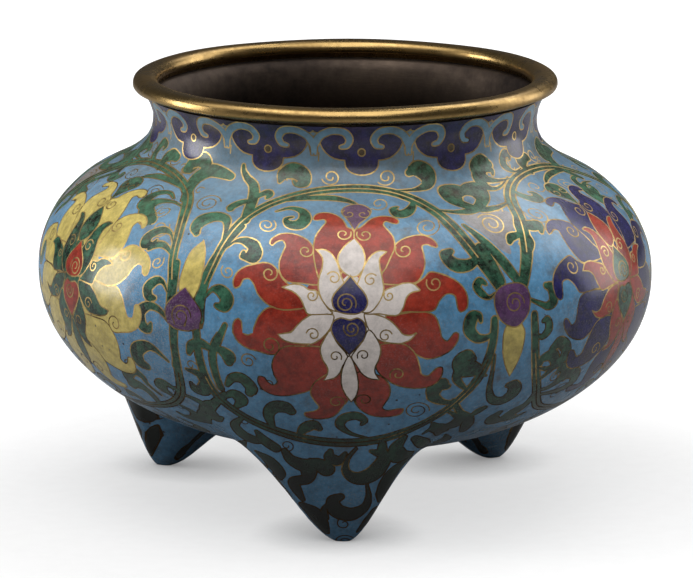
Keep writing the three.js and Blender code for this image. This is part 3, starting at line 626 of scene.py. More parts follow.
FLOWERS = [  # azimuth, mirrored, outer petals, inner petals, heart, cap
    (-90.0, 1, "red", "white", "navy", "purple"),
    (-26.0, -1, "navy", "red", "green", "green"),
    (31.0, 1, "yellow", "green", "red", "green"),
    (93.0, -1, "red", "white", "navy", "purple"),
    (151.0, 1, "navy", "red", "green", "green"),
    (-150.0, -1, "yellow", "green", "red", "green"),
]
UPRIGHT_BUDS = [-121.0, -0.5, 121.5]
HANGING_BUDS = [-58.2, 62.0, -178.5]
BETWEEN_FEET = [-26.0, 93.0, -150.0]


class Layer:
    """Shapes that are filled and wired as one. Those of a later layer lie over it."""

    def __init__(self, colour, wired=True):
        self.colour = colour
        self.wired = wired
        self.shapes = []

    def add(self, points, origin, mirror=1, closed=False):
        points = np.array(points, float) * ([mirror, 1, 1] if len(points[0]) == 3 else [mirror, 1])
        line = curve(points, closed)
        if closed:
            area = np.sum(line[:, 0] * np.roll(line[:, 1], -1) - line[:, 1] * np.roll(line[:, 0], -1))
            line = line if area < 0 else line[::-1]
        width = line[:, 2] if line.shape[1] == 3 else np.zeros(len(line))
        self.shapes.append((line[:, :2], np.maximum(width, 0), origin, closed))

    def curl(self, centre, end, turns, hand, origin, mirror=1):
        line = spiral(centre, end, turns, hand) * [mirror, 1]
        self.shapes.append((line, np.zeros(len(line)), origin, False))


def draw_ornament():
    """Layers from the lowest up: tinted ground, curls and leaves, buds, flowers and the collar."""
    layers = []

    def layer(colour, wired=True):
        layers.append(Layer(colour, wired))
        return layers[-1]

    def petal(colour, outline, curl, origin, mirror):
        layer(colour).add(outline, origin, mirror, closed=True)
        if curl:
            layer("").curl(*curl, origin, mirror)

    rose = layer("rose", wired=False)
    for origin in HANGING_BUDS:
        rose.add(ROSE_PATCH, origin, closed=True)
    curls = layer("")
    leaves = layer("green")
    veins = layer("")
    groups = [(UPRIGHT_LEAVES, UPRIGHT_CURLS, UPRIGHT_BUDS), (HANGING_LEAVES, HANGING_CURLS, HANGING_BUDS),
              (FOOT_LEAVES, FOOT_CURLS, [foot[0] for foot in FEET]),
              (UNDERSIDE_LEAVES, UNDERSIDE_CURLS, BETWEEN_FEET)]
    for strokes, windings, origins in groups:
        for origin in origins:
            for stroke in strokes:
                leaves.add(stroke, origin)
            for winding in windings:
                curls.curl(*winding, origin)
    for origin, mirror, *_ in FLOWERS:
        for stroke in ARCH + FLOWER_LEAVES:
            leaves.add(stroke, origin, mirror)
        for vine in (ARCH[0], ARCH[2]):
            veins.add([(x, y) for x, y, _ in vine[2:-2]], origin, mirror)
        for winding in FLOWER_CURLS:
            curls.curl(*winding, origin, mirror)
    for petals, origins in ((UPRIGHT_PETALS, UPRIGHT_BUDS), (HANGING_PETALS, HANGING_BUDS)):
        for origin in origins:
            for colour, outline, curl in petals:
                petal(colour, outline, curl, origin, 1)
    for origin, mirror, outer, inner, heart, cap in FLOWERS:
        layer(outer, wired=False).add(OUTER_GROUND, origin, mirror, closed=True)
        for colour, petals in ((outer, OUTER_PETALS), (inner, INNER_PETALS), (heart, HEART), (cap, CAP)):
            if petals is INNER_PETALS:
                layer(inner, wired=False).add(INNER_GROUND, origin, mirror, closed=True)
            for outline, curl in petals:
                petal(colour, outline, curl, origin, mirror)
        layers[-1].curl(*CAP_CURL, origin, mirror)
    clouds, hooks, rings, ticks = layer("navy"), layer("pale"), layer("brown"), layer("")
    dot = [(x * CLOUD_DOT_SIZE, CLOUD_DOT_HEIGHT + y * CLOUD_DOT_SIZE) for x, y in CLOUD_DOT]
    for i in range(CLOUD_HEADS):
        origin = CLOUD_START + 360 * i / CLOUD_HEADS
        clouds.add(CLOUD_HEAD, origin, closed=True)
        clouds.add(CLOUD_TOP, origin, closed=True)
        for mirror in (1, -1):
            hooks.add(CLOUD_HOOK, origin, mirror)
        rings.add(dot, origin, closed=True)
        ticks.add(CLOUD_TICK, origin)
    return layers


PERIOD = 2 * math.pi * BELLY_RADIUS


def unrolled(line, origin):
    """Domain coordinates of a placed line: distance round the belly from the seam, and station."""
    azimuth, station = place(line, origin)
    start = (origin - SEAM) % 360 * PERIOD / 360
    return np.stack([start + (azimuth - math.radians(origin)) * BELLY_RADIUS, station], -1)


class Plan:
    """Points and edges of the unrolled skin, for the triangulation."""

    def __init__(self):
        self.points = []
        self.edges = []
        self.count = 0

    def add(self, points, closed=None):
        first = self.count
        self.points.append(points)
        self.count += len(points)
        if closed is None:
            return
        ids = np.arange(first, self.count)
        follow = np.roll(ids, -1) if closed else ids[1:]
        self.edges.append(np.stack([ids[:len(follow)], follow], -1))

    def outline(self, line, origin):
        drawn = unrolled(line, origin)
        for shift in (-PERIOD, 0, PERIOD):
            moved = drawn + [shift, 0]
            if moved[:, 0].max() > 0 and moved[:, 0].min() < PERIOD and moved[:, 1].min() < TOP:
                self.add(moved, closed=True)


def foot_rings(plan):
    """Points that crowd towards the tip of each foot, and the edge of the flat that it stands on."""
    angle = np.linspace(0, 2 * math.pi, FOOT_COLUMNS, endpoint=False)
    reach = math.sqrt((FOOT_BLUNT + FOOT_DRESSING) ** 2 - FOOT_BLUNT**2)
    for foot in FEET:
        slope = foot_slope(np.cos(angle), np.sin(angle), foot)
        for ring in FOOT_RINGS:
            outward = foot[1] + ring * reach / slope * np.cos(angle)
            across = ring * reach / slope * np.sin(angle)
            radius = np.hypot(outward, across)
            turned = foot[0] + np.degrees(np.arctan2(across, outward))
            station = station_below(radius)
            ring_points = np.stack([(turned - SEAM) % 360 * PERIOD / 360, station], -1)
            plan.add(ring_points, closed=True if ring == FLAT_EDGE else None)


def lay_out(layers):
    """Every point and edge that the enamel mesh is made through: its rim, cut, grid, feet and wires."""
    plan = Plan()
    for count, station in ((TOP_COLUMNS, TOP), (BOTTOM_COLUMNS, BOTTOM)):
        row = np.linspace(0, PERIOD, count + 1)
        plan.add(np.stack([row, np.full(count + 1, station)], -1), closed=False)
    column = np.linspace(BOTTOM, TOP, SEAM_ROWS + 1)
    for place_on in (0.0, PERIOD):
        plan.add(np.stack([np.full(SEAM_ROWS + 1, place_on), column], -1), closed=False)
    rows = int((TOP - BOTTOM) / (GRID * ROW_SPACING))
    for i in range(1, rows):
        station = BOTTOM + (TOP - BOTTOM) * i / rows
        count = int(2 * math.pi * radius_at(station) / GRID)
        # Each row is half a step off the one before it
        row = (np.arange(count) + 0.25 + 0.5 * (i % 2)) * PERIOD / count
        plan.add(np.stack([row, np.full(count, station)], -1))
    foot_rings(plan)
    for layer in layers:
        for line, width, origin, closed in layer.shapes:
            for outline in (bands(line, width, closed) if layer.wired else [thinned(line, True)]):
                if len(outline) > 2:
                    plan.outline(outline, origin)
    return np.concatenate(plan.points), np.concatenate(plan.edges)


def crossings(points, line):
    """True where a point lies inside a closed line."""
    x, y = points[:, :1], points[:, 1:]
    a, b = line, np.roll(line, -1, 0)
    spans = (a[:, 1] > y) != (b[:, 1] > y)
    rise = np.where(a[:, 1] == b[:, 1], 1, b[:, 1] - a[:, 1])
    hits = spans & (x < a[:, 0] + (y - a[:, 1]) * (b[:, 0] - a[:, 0]) / rise)
    return hits.sum(1) % 2 == 1


def clearance(points, line, width, closed):
    """Distance of points from the edge of a stroke, or of a closed shape: below 0 inside it."""
    start, end = line, np.roll(line, -1, 0)
    w0, w1 = width, np.roll(width, -1)
    if not closed:
        start, end, w0, w1 = start[:-1], end[:-1], w0[:-1], w1[:-1]
    near = np.full(len(points), FAR)
    run = 24  # edges held against the points near them at a time
    for i in range(0, len(start), run):
        a, b, wa, wb = start[i:i + run], end[i:i + run], w0[i:i + run], w1[i:i + run]
        margin = wa.max() / 2 + wb.max() / 2 + WIRE
        low, high = np.minimum(a, b).min(0) - margin, np.maximum(a, b).max(0) + margin
        ids = np.flatnonzero(((points > low) & (points < high)).all(1))
        if not len(ids):
            continue
        reach = b - a
        offset = points[ids][:, None] - a
        t = np.clip((offset * reach).sum(-1) / np.maximum((reach**2).sum(-1), 1e-12), 0, 1)
        gap = np.hypot(*np.moveaxis(offset - t[..., None] * reach, -1, 0)) - (wa + (wb - wa) * t) / 2
        near[ids] = np.minimum(near[ids], gap.min(1))
    if closed:
        near = np.where(crossings(points, line), -near, near)
    return near


def paint(layers, azimuth, station):
    """The enamel colour or wire at points of the skin."""
    radius, length = radius_at(station), length_of(azimuth, station)
    colours = np.full(len(azimuth), COLOURS.index("sky"))
    for layer in layers:
        depth = np.full(len(azimuth), FAR)
        for line, width, origin, closed in layer.shapes:
            margin = width.max() / 2 + WIRE
            low, high = line.min(0) - margin, line.max(0) + margin
            around = (azimuth - math.radians(origin) + math.pi) % (2 * math.pi) - math.pi
            x = around * radius
            ids = np.flatnonzero((x > low[0]) & (x < high[0]) & (length > low[1]) & (length < high[1]))
            local = np.stack([x[ids], length[ids]], -1)
            if len(ids):
                depth[ids] = np.minimum(depth[ids], clearance(local, line, width, closed))
        if layer.wired:
            colours[depth < WIRE / 2] = COLOURS.index("wire")
        if layer.colour:
            colours[depth < (-WIRE / 2 if layer.wired else 0)] = COLOURS.index(layer.colour)
    return colours


def triangulate(points, edges):
    """Flat triangles of the unrolled skin, joined along its cut."""
    found = delaunay_2d_cdt([Vector(p) for p in points], edges.tolist(), [], 0, MERGE, False)
    flat = np.array([tuple(v) for v in found[0]])
    triangles = np.array([f for f in found[2] if len(f) == 3])
    middle = flat[triangles].mean(1)
    inside = (middle[:, 0] > 0) & (middle[:, 0] < PERIOD) & (middle[:, 1] > BOTTOM) & (middle[:, 1] < TOP)
    triangles, middle = triangles[inside], middle[inside]
    flat[:, 1] = np.clip(flat[:, 1], BOTTOM, TOP)
    # The two sides of the cut are joined point to nearest point
    joined = np.arange(len(flat))
    sides = (flat[:, 0] < AT_CUT, flat[:, 0] > PERIOD - AT_CUT)
    left, right = (np.intersect1d(np.flatnonzero(side), triangles) for side in sides)
    for ids in (right, left):
        partners = left if ids is right else np.unique(joined[right])
        gaps = np.abs(flat[ids, 1][:, None] - flat[partners, 1])
        joined[ids] = partners[gaps.argmin(1)]
    triangles = joined[triangles]
    a, b, c = triangles.T
    whole = (a != b) & (b != c) & (a != c)
    used = np.unique(triangles[whole])
    renumber = np.zeros(len(flat), int)
    renumber[used] = np.arange(len(used))
    return flat[used], renumber[triangles[whole]], middle[whole]


def zipped(lower, lower_turn, upper, upper_turn):
    """Triangles between two rings of vertex numbers, each in order of azimuth."""
    faces = []
    i = j = 0
    low_turn = np.append(lower_turn, lower_turn[0] + 2 * math.pi)
    up_turn = np.append(upper_turn, upper_turn[0] + 2 * math.pi)
    low, up = np.append(lower, lower[0]), np.append(upper, upper[0])
    while i < len(lower) or j < len(upper):
        if j == len(upper) or (i < len(lower) and low_turn[i + 1] <= up_turn[j + 1]):
            faces.append((low[i], low[i + 1], up[j]))
            i += 1
        else:
            faces.append((low[i], up[j + 1], up[j]))
            j += 1
    return faces


def shoulder_inside(share):
    """Inner wall of the shoulder and neck, square to the outer one."""
    nudge = 0.002
    low, high = np.maximum(share - nudge, 0), np.minimum(share + nudge, 1)
    across = shoulder_radius(high) - shoulder_radius(low)
    up = (high - low) * (LIP_HEIGHT - BELLY_HEIGHT)
    length = np.hypot(across, up)
    height = BELLY_HEIGHT + share * (LIP_HEIGHT - BELLY_HEIGHT)
    return shoulder_radius(share) - WALL * up / length, height + WALL * across / length


def inner_rows(turn):
    """Rows of points from the flat lip down the inside of the vessel to the middle of its floor."""
    mouth = LIP_RADIUS - LIP_WIDTH
    rows = [np.stack([mouth * np.cos(turn), mouth * np.sin(turn), np.full(len(turn), LIP_HEIGHT)], -1)]
    start = 1 - LIP_CHAMFER / (LIP_HEIGHT - BELLY_HEIGHT)
    for share in np.linspace(start, 0, INSIDE_SHOULDER_ROWS):
        radius, height = shoulder_inside(share)
        x, y = radius * np.cos(turn), radius * np.sin(turn)
        rows.append(np.stack([x, y, lean(x, np.full(len(turn), height))], -1))
    inner = BELLY_RADIUS - WALL
    for angle in np.linspace(math.pi / 2, 0, INSIDE_FLOOR_ROWS)[1:-1]:
        x, y = inner * math.sin(angle) * np.cos(turn), inner * math.sin(angle) * np.sin(turn)
        rows.append(np.stack([x, y, lean(x, floor_height(x, y, WALL, FOOT_HOLLOW))], -1))
    return rows, np.array([[0, 0, floor_height(np.zeros(1), np.zeros(1), WALL, FOOT_HOLLOW)[0]]])


def set_normals(mesh, skin_normals, corners, on_lip):
    """Smooth normals, the skin's own taken from its surface, and upright ones on the flat lip."""
    smooth = np.array([v.vector for v in mesh.vertex_normals])
    smooth[:len(skin_normals)] = skin_normals
    corner_normals = smooth[corners.reshape(-1)]
    corner_normals[np.repeat(on_lip, 3)] = (0, 0, 1)
    mesh.normals_split_custom_set(corner_normals.tolist())


def unroll(mesh, places, corners, colours, flat, skin_count):
    """Texture coordinates, in millimetres before they are scaled to 0 to 1: the skin
    round the belly across and up its section, the lip and the inside of the shoulder in a strip above
    it, and the hollow and the cap of the underside as discs below it."""
    hollow_disc, cap_disc, bottom_margin, scale = (90, -80), (340, -80), 160, PERIOD * 1.01
    strip_gap, strip_stretch, lip_share = 1.5, 1.15, 0.3
    turned = (np.degrees(np.arctan2(places[:, 1], places[:, 0])) - SEAM) % 360 / 360
    radius = np.hypot(places[:, 0], places[:, 1]) / MM
    up = np.zeros(len(places))
    up[:len(flat)] = flat[:, 1] - BOTTOM
    across = turned[corners]
    across[(across.max(1) - across.min(1) > 0.5)[:, None] & (across < 0.5)] += 1
    uv = np.stack([across * PERIOD, up[corners]], -1)
    rest = np.arange(len(corners)) >= skin_count
    upper = rest & (places[corners][..., 2].min(1) > (BELLY_HEIGHT - 4) * MM)
    depth = (LIP_HEIGHT * MM - places[:, 2]) / MM
    inward = (LIP_RADIUS - radius).clip(0)
    strip = depth * strip_stretch + inward * lip_share
    uv[upper, :, 1] = TOP - BOTTOM + strip_gap + strip[corners[upper]]
    lower = rest & ~upper
    disc = np.where((colours[lower] == COLOURS.index("sky"))[:, None, None], cap_disc, hollow_disc)
    uv[lower] = places[corners[lower]][..., :2] / MM + disc
    layer = mesh.uv_layers.new(name="OFBake")
    layer.data.foreach_set("uv", ((uv + [0, bottom_margin]) / scale).reshape(-1).astype(np.float32))


def build_vessel(materials):
    layers = draw_ornament()
    flat, skin_faces, middle = triangulate(*lay_out(layers))
    azimuth = math.radians(SEAM) + flat[:, 0] / BELLY_RADIUS
    points = [skin_point(azimuth, flat[:, 1])]
    slots = [paint(layers, math.radians(SEAM) + middle[:, 0] / BELLY_RADIUS, middle[:, 1])]
    faces = [skin_faces]
    count = len(flat)

    def ring_of(station):
        ids = np.flatnonzero(np.abs(flat[:, 1] - station) < RIM_REACH)
        angle = azimuth[ids] % (2 * math.pi)
        order = np.argsort(angle)
        return ids[order], angle[order]

    def new_row(row):
        nonlocal count
        points.append(row)
        count += len(row)
        return np.arange(count - len(row), count)

    def add_faces(made, slot):
        faces.append(np.array(made))
        slots.append(np.full(len(made), COLOURS.index(slot)))

    # The inside, turned by a hair so that its points fall beside those of the skin's rim
    turn = np.linspace(0, 2 * math.pi, INSIDE_COLUMNS, endpoint=False) + 0.001
    rows, pole = inner_rows(turn)
    below, below_turn = ring_of(TOP)
    for row in rows:
        above = new_row(row)
        add_faces(zipped(below, below_turn, above, turn), "bronze")
        below, below_turn = above, turn
    centre = new_row(pole)
    add_faces([(below[i], below[(i + 1) % len(turn)], centre[0]) for i in range(len(turn))], "bronze")
    # The plain middle of the underside
    above, above_turn = ring_of(BOTTOM)
    for share in CAP_RINGS:
        below = new_row(skin_point(turn[::3], station_below(UNDERSIDE_RADIUS * share)))
        add_faces(zipped(below, turn[::3], above, above_turn), "sky")
        above, above_turn = below, turn[::3]
    centre = new_row(skin_point(np.zeros(1), np.full(1, SECTION[0])))
    add_faces([(above[(i + 1) % len(above)], above[i], centre[0]) for i in range(len(above))], "sky")

    mesh = bpy.data.meshes.new("vessel_body")
    places = np.concatenate(points) * MM
    corners = np.concatenate(faces)
    colours = np.concatenate(slots)
    mesh.from_pydata(places.tolist(), [], corners.tolist())
    mesh.polygons.foreach_set("material_index", colours.astype(np.int32))
    mesh.polygons.foreach_set("use_smooth", np.ones(len(corners), bool))
    for name in COLOURS:
        mesh.materials.append(materials[name])
    mesh.update()
    lowest = places[corners][..., 2].min(1)
    on_lip = (colours == COLOURS.index("bronze")) & (lowest > (LIP_HEIGHT - 0.01) * MM)
    set_normals(mesh, skin_normal(azimuth, flat[:, 1]), corners, on_lip)
    unroll(mesh, places, corners, colours, flat, len(skin_faces))
    return mesh


def build_ring(material):
    """The mouth ring: a squarish bead over a tenon, turned, with its wear."""
    columns, bead_from, bead_to, bead_rows = 240, -56, 236, 46
    foot = LIP_HEIGHT + SEAT_GAP
    widest = foot + TENON_HEIGHT + BEAD_DROP
    outline = [(LIP_RADIUS - LIP_WIDTH + TENON_INSET, foot), (LIP_RADIUS - TENON_INSET, foot)]
    for angle in np.radians(np.linspace(bead_from, bead_to, bead_rows)):
        rise = BEAD_RISE - 0.01 if math.sin(angle) > 0 else BEAD_DROP
        power = 2 / BEAD_SIDE
        across = math.copysign(abs(math.cos(angle)) ** power, math.cos(angle))
        up = math.copysign(abs(math.sin(angle)) ** power, math.sin(angle))
        outline.append((BEAD_RADIUS + BEAD_HALF_WIDTH * across, widest + rise * up))
    outline = np.array(outline)
    turn = np.linspace(0, 2 * math.pi, columns, endpoint=False)
    # It is a little uneven round about, and its crown is rubbed down
    wear = 0.05 * np.sin(5 * turn + 1) + 0.03 * np.sin(13 * turn) + 0.02 * np.sin(31 * turn + 2)
    crown = np.clip((outline[:, 1] - widest) / BEAD_RISE, 0, 1)
    radius = outline[:, 0] + (wear[:, None] - 0.1) * np.sign(outline[:, 0] - BEAD_RADIUS) * (1 - crown)
    height = outline[:, 1] - 0.06 * (1 + np.sin(7 * turn + 0.5)[:, None]) * crown**2
    places = np.stack([radius * np.cos(turn)[:, None], radius * np.sin(turn)[:, None], height], -1)
    size = len(outline)
    faces = []
    for i in range(columns):
        here, beside = i * size, (i + 1) % columns * size
        for j in range(size):
            k = (j + 1) % size
            faces.append((here + j, beside + j, beside + k, here + k))
    mesh = bpy.data.meshes.new("mouth_ring_bead")
    mesh.from_pydata((places.reshape(-1, 3) * MM).tolist(), [], faces)
    mesh.polygons.foreach_set("use_smooth", np.ones(len(faces), bool))
    mesh.materials.append(material)
    mesh.update()
    return mesh


FINISH = (("Colour", "Color"), ("Roughness", "Float"), ("Normal", "Vector"))


def named_group(name, inputs):
    """A shader group with its inputs, their values by default, and the outputs of every finish."""
    group = bpy.data.node_groups.new(name, "ShaderNodeTree")
    for label, value in inputs.items():
        kind = "NodeSocketColor" if isinstance(value, tuple) else "NodeSocketFloat"
        group.interface.new_socket(label, in_out="INPUT", socket_type=kind).default_value = value
    for label, kind in FINISH:
        group.interface.new_socket(label, in_out="OUTPUT", socket_type=f"NodeSocket{kind}")
    return group, group.nodes.new("NodeGroupInput").outputs


def put_out(group, *sockets):
    result = group.nodes.new("NodeGroupOutput")
    for (label, _), socket in zip(FINISH, sockets):
        group.links.new(socket, result.inputs[label])
    return group


def feed(tree, socket, value):
    if isinstance(value, bpy.types.NodeSocket):
        tree.links.new(value, socket)
    else:
        socket.default_value = value


def node(tree, kind, inputs=None, **settings):
    made = tree.nodes.new(kind)
    for key, value in settings.items():
        setattr(made, key, value)
    for key, value in (inputs or {}).items():
        feed(tree, made.inputs[key], value)
    return made


def noise(tree, where, scale, detail=2.0, roughness=0.5):
    settings = {"Vector": where, "Scale": scale, "Detail": detail, "Roughness": roughness}
    return node(tree, "ShaderNodeTexNoise", settings).outputs["Fac"]


def math_node(tree, operation, a, b, clamp=False):
    return node(tree, "ShaderNodeMath", {0: a, 1: b}, operation=operation, use_clamp=clamp).outputs[0]


def times(tree, a, b, clamp=False):
    return math_node(tree, "MULTIPLY", a, b, clamp)


def plus(tree, a, b):
    return math_node(tree, "ADD", a, b)


def minus(tree, a, b):
    return math_node(tree, "SUBTRACT", a, b)


def ramp(tree, value, low, high, to_low=0.0, to_high=1.0):
    made = node(tree, "ShaderNodeMapRange", {"Value": value, "From Min": low, "From Max": high,
                                             "To Min": to_low, "To Max": to_high})
    return made.outputs["Result"]


def swing(tree, where, scale, detail, roughness, low, high):
    """Noise that swings from -1 to 1 as it rises from low to high."""
    return ramp(tree, noise(tree, where, scale, detail, roughness), low, high, -1, 1)


def mixed(tree, factor, a, b, blend="MIX"):
    made = node(tree, "ShaderNodeMix", data_type="RGBA", blend_type=blend)
    factor_socket, a_socket, b_socket = made.inputs[0], made.inputs[6], made.inputs[7]
    for socket, value in ((factor_socket, factor), (a_socket, a), (b_socket, b)):
        feed(tree, socket, value)
    return made.outputs[2]


def grey(tree, value):
    return node(tree, "ShaderNodeCombineColor", {0: value, 1: value, 2: value}).outputs[0]


def height_of(tree, where):
    return node(tree, "ShaderNodeSeparateXYZ", {0: where}).outputs["Z"]


def low_down(tree, where):
    """Rises from 0 at the widest part of the vessel to 1 at its feet, unevenly: the mask of the painted shade low
    down.
    """
    uneven = times(tree, noise(tree, where, 55, 3), 0.016)
    return ramp(tree, plus(tree, height_of(tree, where), uneven), 0.084, 0.024)


def fired_glass_group():
    """Opaque enamel: mottled colour with fine speckles and pin holes."""
    group, given = named_group("fired_glass", {
        "Colour": (0.2, 0.4, 0.6, 1), "Mottle": 0.16, "Speckle": 0.2, "Pits": 0.5, "Grime": 0.6, "Roughness": 0.2})
    grain_colour, soil_colour, hole_colour = (0.44, 0.4, 0.37, 1), (0.11, 0.085, 0.05, 1), (0.012, 0.011, 0.012, 1)
    shoulder_sheen_colour, low_shade_colour = (0.27, 0.24, 0.15, 1), (0.008, 0.007, 0.006, 1)
    where = node(group, "ShaderNodeTexCoord").outputs["Object"]
    broad = swing(group, where, 42, 3, 0.5, 0.3, 0.7)
    blotch = swing(group, where, 330, 3, 0.6, 0.42, 0.6)
    fine = swing(group, where, 900, 3, 0.7, 0.4, 0.6)
    grain = swing(group, where, 2600, 2, 0.6, 0.35, 0.65)
    shade = plus(group, plus(group, broad, blotch), times(group, fine, 0.8))
    shade = plus(group, times(group, shade, given["Mottle"]), 1.0)
    colour = mixed(group, 1.0, given["Colour"], grey(group, shade), "MULTIPLY")
    # Pale and dull grains that came up in the firing
    patch = ramp(group, noise(group, where, 28, 2), 0.5, 0.66)
    grains = ramp(group, plus(group, grain, times(group, patch, 0.6)), 0.55, 1.3)
    colour = mixed(group, times(group, grains, given["Speckle"], True), colour, grain_colour)
    # Brownish dirt in small clouds
    soil = ramp(group, noise(group, where, 120, 4, 0.7), 0.54, 0.72, 0, 0.6)
    colour = mixed(group, times(group, soil, given["Pits"], True), colour, soil_colour)
    # Pin holes, open and filled with dark dirt
    cells = node(group, "ShaderNodeTexVoronoi", {"Vector": where, "Scale": 560.0, "Randomness": 1.0})
    chance = node(group, "ShaderNodeSeparateColor", {0: cells.outputs["Color"]}).outputs[0]
    crowd = times(group, ramp(group, noise(group, where, 36, 1), 0.5, 0.64), 0.2)
    size = ramp(group, plus(group, chance, crowd), 0.93, 1.08, 0.0, 0.2)
    hole = ramp(group, minus(group, size, cells.outputs["Distance"]), 0.0, 0.05)
    hole = times(group, hole, given["Pits"], True)
    colour = mixed(group, hole, colour, hole_colour)
    # Painted sheen: a dull greyish haze over the upper shoulder, standing for the glare of the lights there
    shoulder_sheen = ramp(group, plus(group, height_of(group, where), times(group, broad, 0.006)), 0.066, 0.092)
    colour = mixed(group, times(group, shoulder_sheen, given["Speckle"], True), colour, shoulder_sheen_colour)
    # Painted shade: a near-black colour laid on more thickly towards the underside and the feet, where the vessel is
    # in shade
    low_shade = times(group, low_down(group, where), given["Grime"], True)
    colour = mixed(group, low_shade, colour, low_shade_colour)
    rough = plus(group, given["Roughness"], times(group, swing(group, where, 160, 4, 0.5, 0.3, 0.7), 0.05))
    rough = plus(group, rough, times(group, hole, 0.4))
    relief = minus(group, times(group, noise(group, where, 240, 2), 0.35), hole)
    bump = node(group, "ShaderNodeBump", {"Strength": 0.35, "Distance": 0.00012, "Height": relief})
    return put_out(group, colour, rough, bump.outputs[0])


def handled_metal_group():
    """Gilding or bronze, brighter where it is rubbed and brown where it has tarnished, and browner towards the bottom
    as painted shade.
    """
    group, given = named_group("handled_metal", {
        "Bright": (0.8, 0.6, 0.3, 1), "Tarnish": (0.2, 0.13, 0.06, 1), "Wear": 0.4, "Grime": 0.0, "Scale": 60.0,
        "Roughness": 0.3, "Grain": 0.3})
    where = node(group, "ShaderNodeTexCoord").outputs["Object"]
    cloud = noise(group, where, given["Scale"], 4, 0.6)
    small = noise(group, where, times(group, given["Scale"], 14.0), 3, 0.65)
    worn = plus(group, plus(group, cloud, times(group, small, 0.35)), minus(group, given["Wear"], 0.5))
    # Painted shade: more tarnish towards the bottom, where the metal lies in shade
    low_shade = times(group, low_down(group, where), given["Grime"])
    tarnish = ramp(group, plus(group, worn, low_shade), 0.5, 0.95)
    colour = mixed(group, tarnish, given["Bright"], given["Tarnish"])
    rough = plus(group, given["Roughness"], times(group, tarnish, 0.25))
    rough = plus(group, rough, times(group, small, 0.1))
    # Fine marks that run round the metal
    squashed = node(group, "ShaderNodeMapping", {"Vector": where, "Scale": (1, 1, 9)}).outputs[0]
    lines = noise(group, squashed, times(group, given["Scale"], 12.0), 3, 0.6)
    bump = node(group, "ShaderNodeBump", {"Strength": given["Grain"], "Distance": 0.0001, "Height": lines})
    return put_out(group, colour, rough, bump.outputs[0])


def surface(name, group, settings, **shine):
    """A material of one Principled shader with its colour, roughness and normal from a group."""
    material = bpy.data.materials.new(name)
    material.use_nodes = True
    tree = material.node_tree
    tree.nodes.clear()
    finish = node(tree, "ShaderNodeGroup", node_tree=group)
    for label, value in settings.items():
        finish.inputs[label].default_value = value
    shader = node(tree, "ShaderNodeBsdfPrincipled", {
        "Base Color": finish.outputs["Colour"], "Roughness": finish.outputs["Roughness"],
        "Normal": finish.outputs["Normal"]})
    for label, value in shine.items():
        shader.inputs[label.replace("_", " ")].default_value = value
    node(tree, "ShaderNodeOutputMaterial", {0: shader.outputs[0]})
    return material


def srgb(red, green, blue):
    """Linear colour of a screen colour."""
    values = np.array([red, green, blue]) / 255
    linear = np.where(values <= 0.04045, values / 12.92, ((values + 0.055) / 1.055) ** 2.4)
    return (*linear.tolist(), 1)


ENAMEL_ROUGHNESS = 0.23


def make_materials():
    glass, metal = fired_glass_group(), handled_metal_group()
    enamels = {  # colour, mottle, speckle and painted sheen, pits, painted shade low down
        "sky": (srgb(96, 152, 192), 0.12, 0.44, 1.0, 0.57),
        "pale": (srgb(112, 164, 196), 0.12, 0.25, 0.8, 0.62),
        "navy": (srgb(32, 30, 88), 0.28, 0.12, 0.8, 0.66),
        "green": (srgb(50, 94, 72), 0.42, 0.15, 0.9, 0.97),
        "red": (srgb(160, 52, 36), 0.18, 0.12, 0.5, 0.64),
        "white": (srgb(232, 222, 216), 0.06, 0.16, 0.7, 0.35),
        "yellow": (srgb(208, 188, 106), 0.12, 0.14, 0.7, 0.45),
        "purple": (srgb(96, 62, 104), 0.2, 0.3, 0.6, 0.6),
        "rose": (srgb(146, 146, 160), 0.14, 0.8, 0.9, 0.5),
        "brown": (srgb(64, 44, 26), 0.3, 0.2, 0.8, 0.5),
    }
    made = {}
    for name, (colour, mottle, speckle_and_sheen, pits, low_shade_amount) in enamels.items():
        values = {"Colour": colour, "Mottle": mottle, "Speckle": speckle_and_sheen, "Pits": pits, "Grime": low_shade_amount,
                  "Roughness": ENAMEL_ROUGHNESS}
        made[name] = surface(f"enamel_{name}", glass, values, Specular_IOR_Level=0.45, IOR=1.5)
    # The wire is browned towards the bottom as painted shade
    made["wire"] = surface("gilt_wire", metal, {
        "Bright": srgb(226, 194, 126), "Tarnish": srgb(70, 54, 36), "Wear": 0.5, "Grime": 0.38, "Scale": 70.0,
        "Roughness": 0.3, "Grain": 0.1}, Metallic=1.0)
    made["bronze"] = surface("dark_bronze", metal, {
        "Bright": srgb(92, 78, 66), "Tarnish": srgb(38, 30, 27), "Wear": 0.62, "Scale": 26.0,
        "Roughness": 0.42, "Grain": 0.35}, Metallic=0.75)
    made["gilding"] = surface("mouth_gilding", metal, {
        "Bright": srgb(178, 148, 95), "Tarnish": srgb(98, 74, 42), "Wear": 0.42, "Scale": 45.0,
        "Roughness": 0.2, "Grain": 0.12}, Metallic=1.0)
    return made


def soft_box(name, azimuth, elevation, distance, size, power):
    """A soft light aimed at the vessel, its azimuth counted from the front towards the right."""
    aim = Vector((0, 0, 0.06))
    a, e = math.radians(azimuth), math.radians(elevation)
    toward = Vector((math.sin(a) * math.cos(e), -math.cos(a) * math.cos(e), math.sin(e)))
    data = bpy.data.lights.new(name, "AREA")
    data.shape = "RECTANGLE"
    data.size, data.size_y = size
    data.energy = power
    lamp = bpy.data.objects.new(name, data)
    lamp.location = aim + toward * distance
    lamp.rotation_euler = (-toward).to_track_quat("-Z", "Y").to_euler()
    bpy.context.collection.objects.link(lamp)


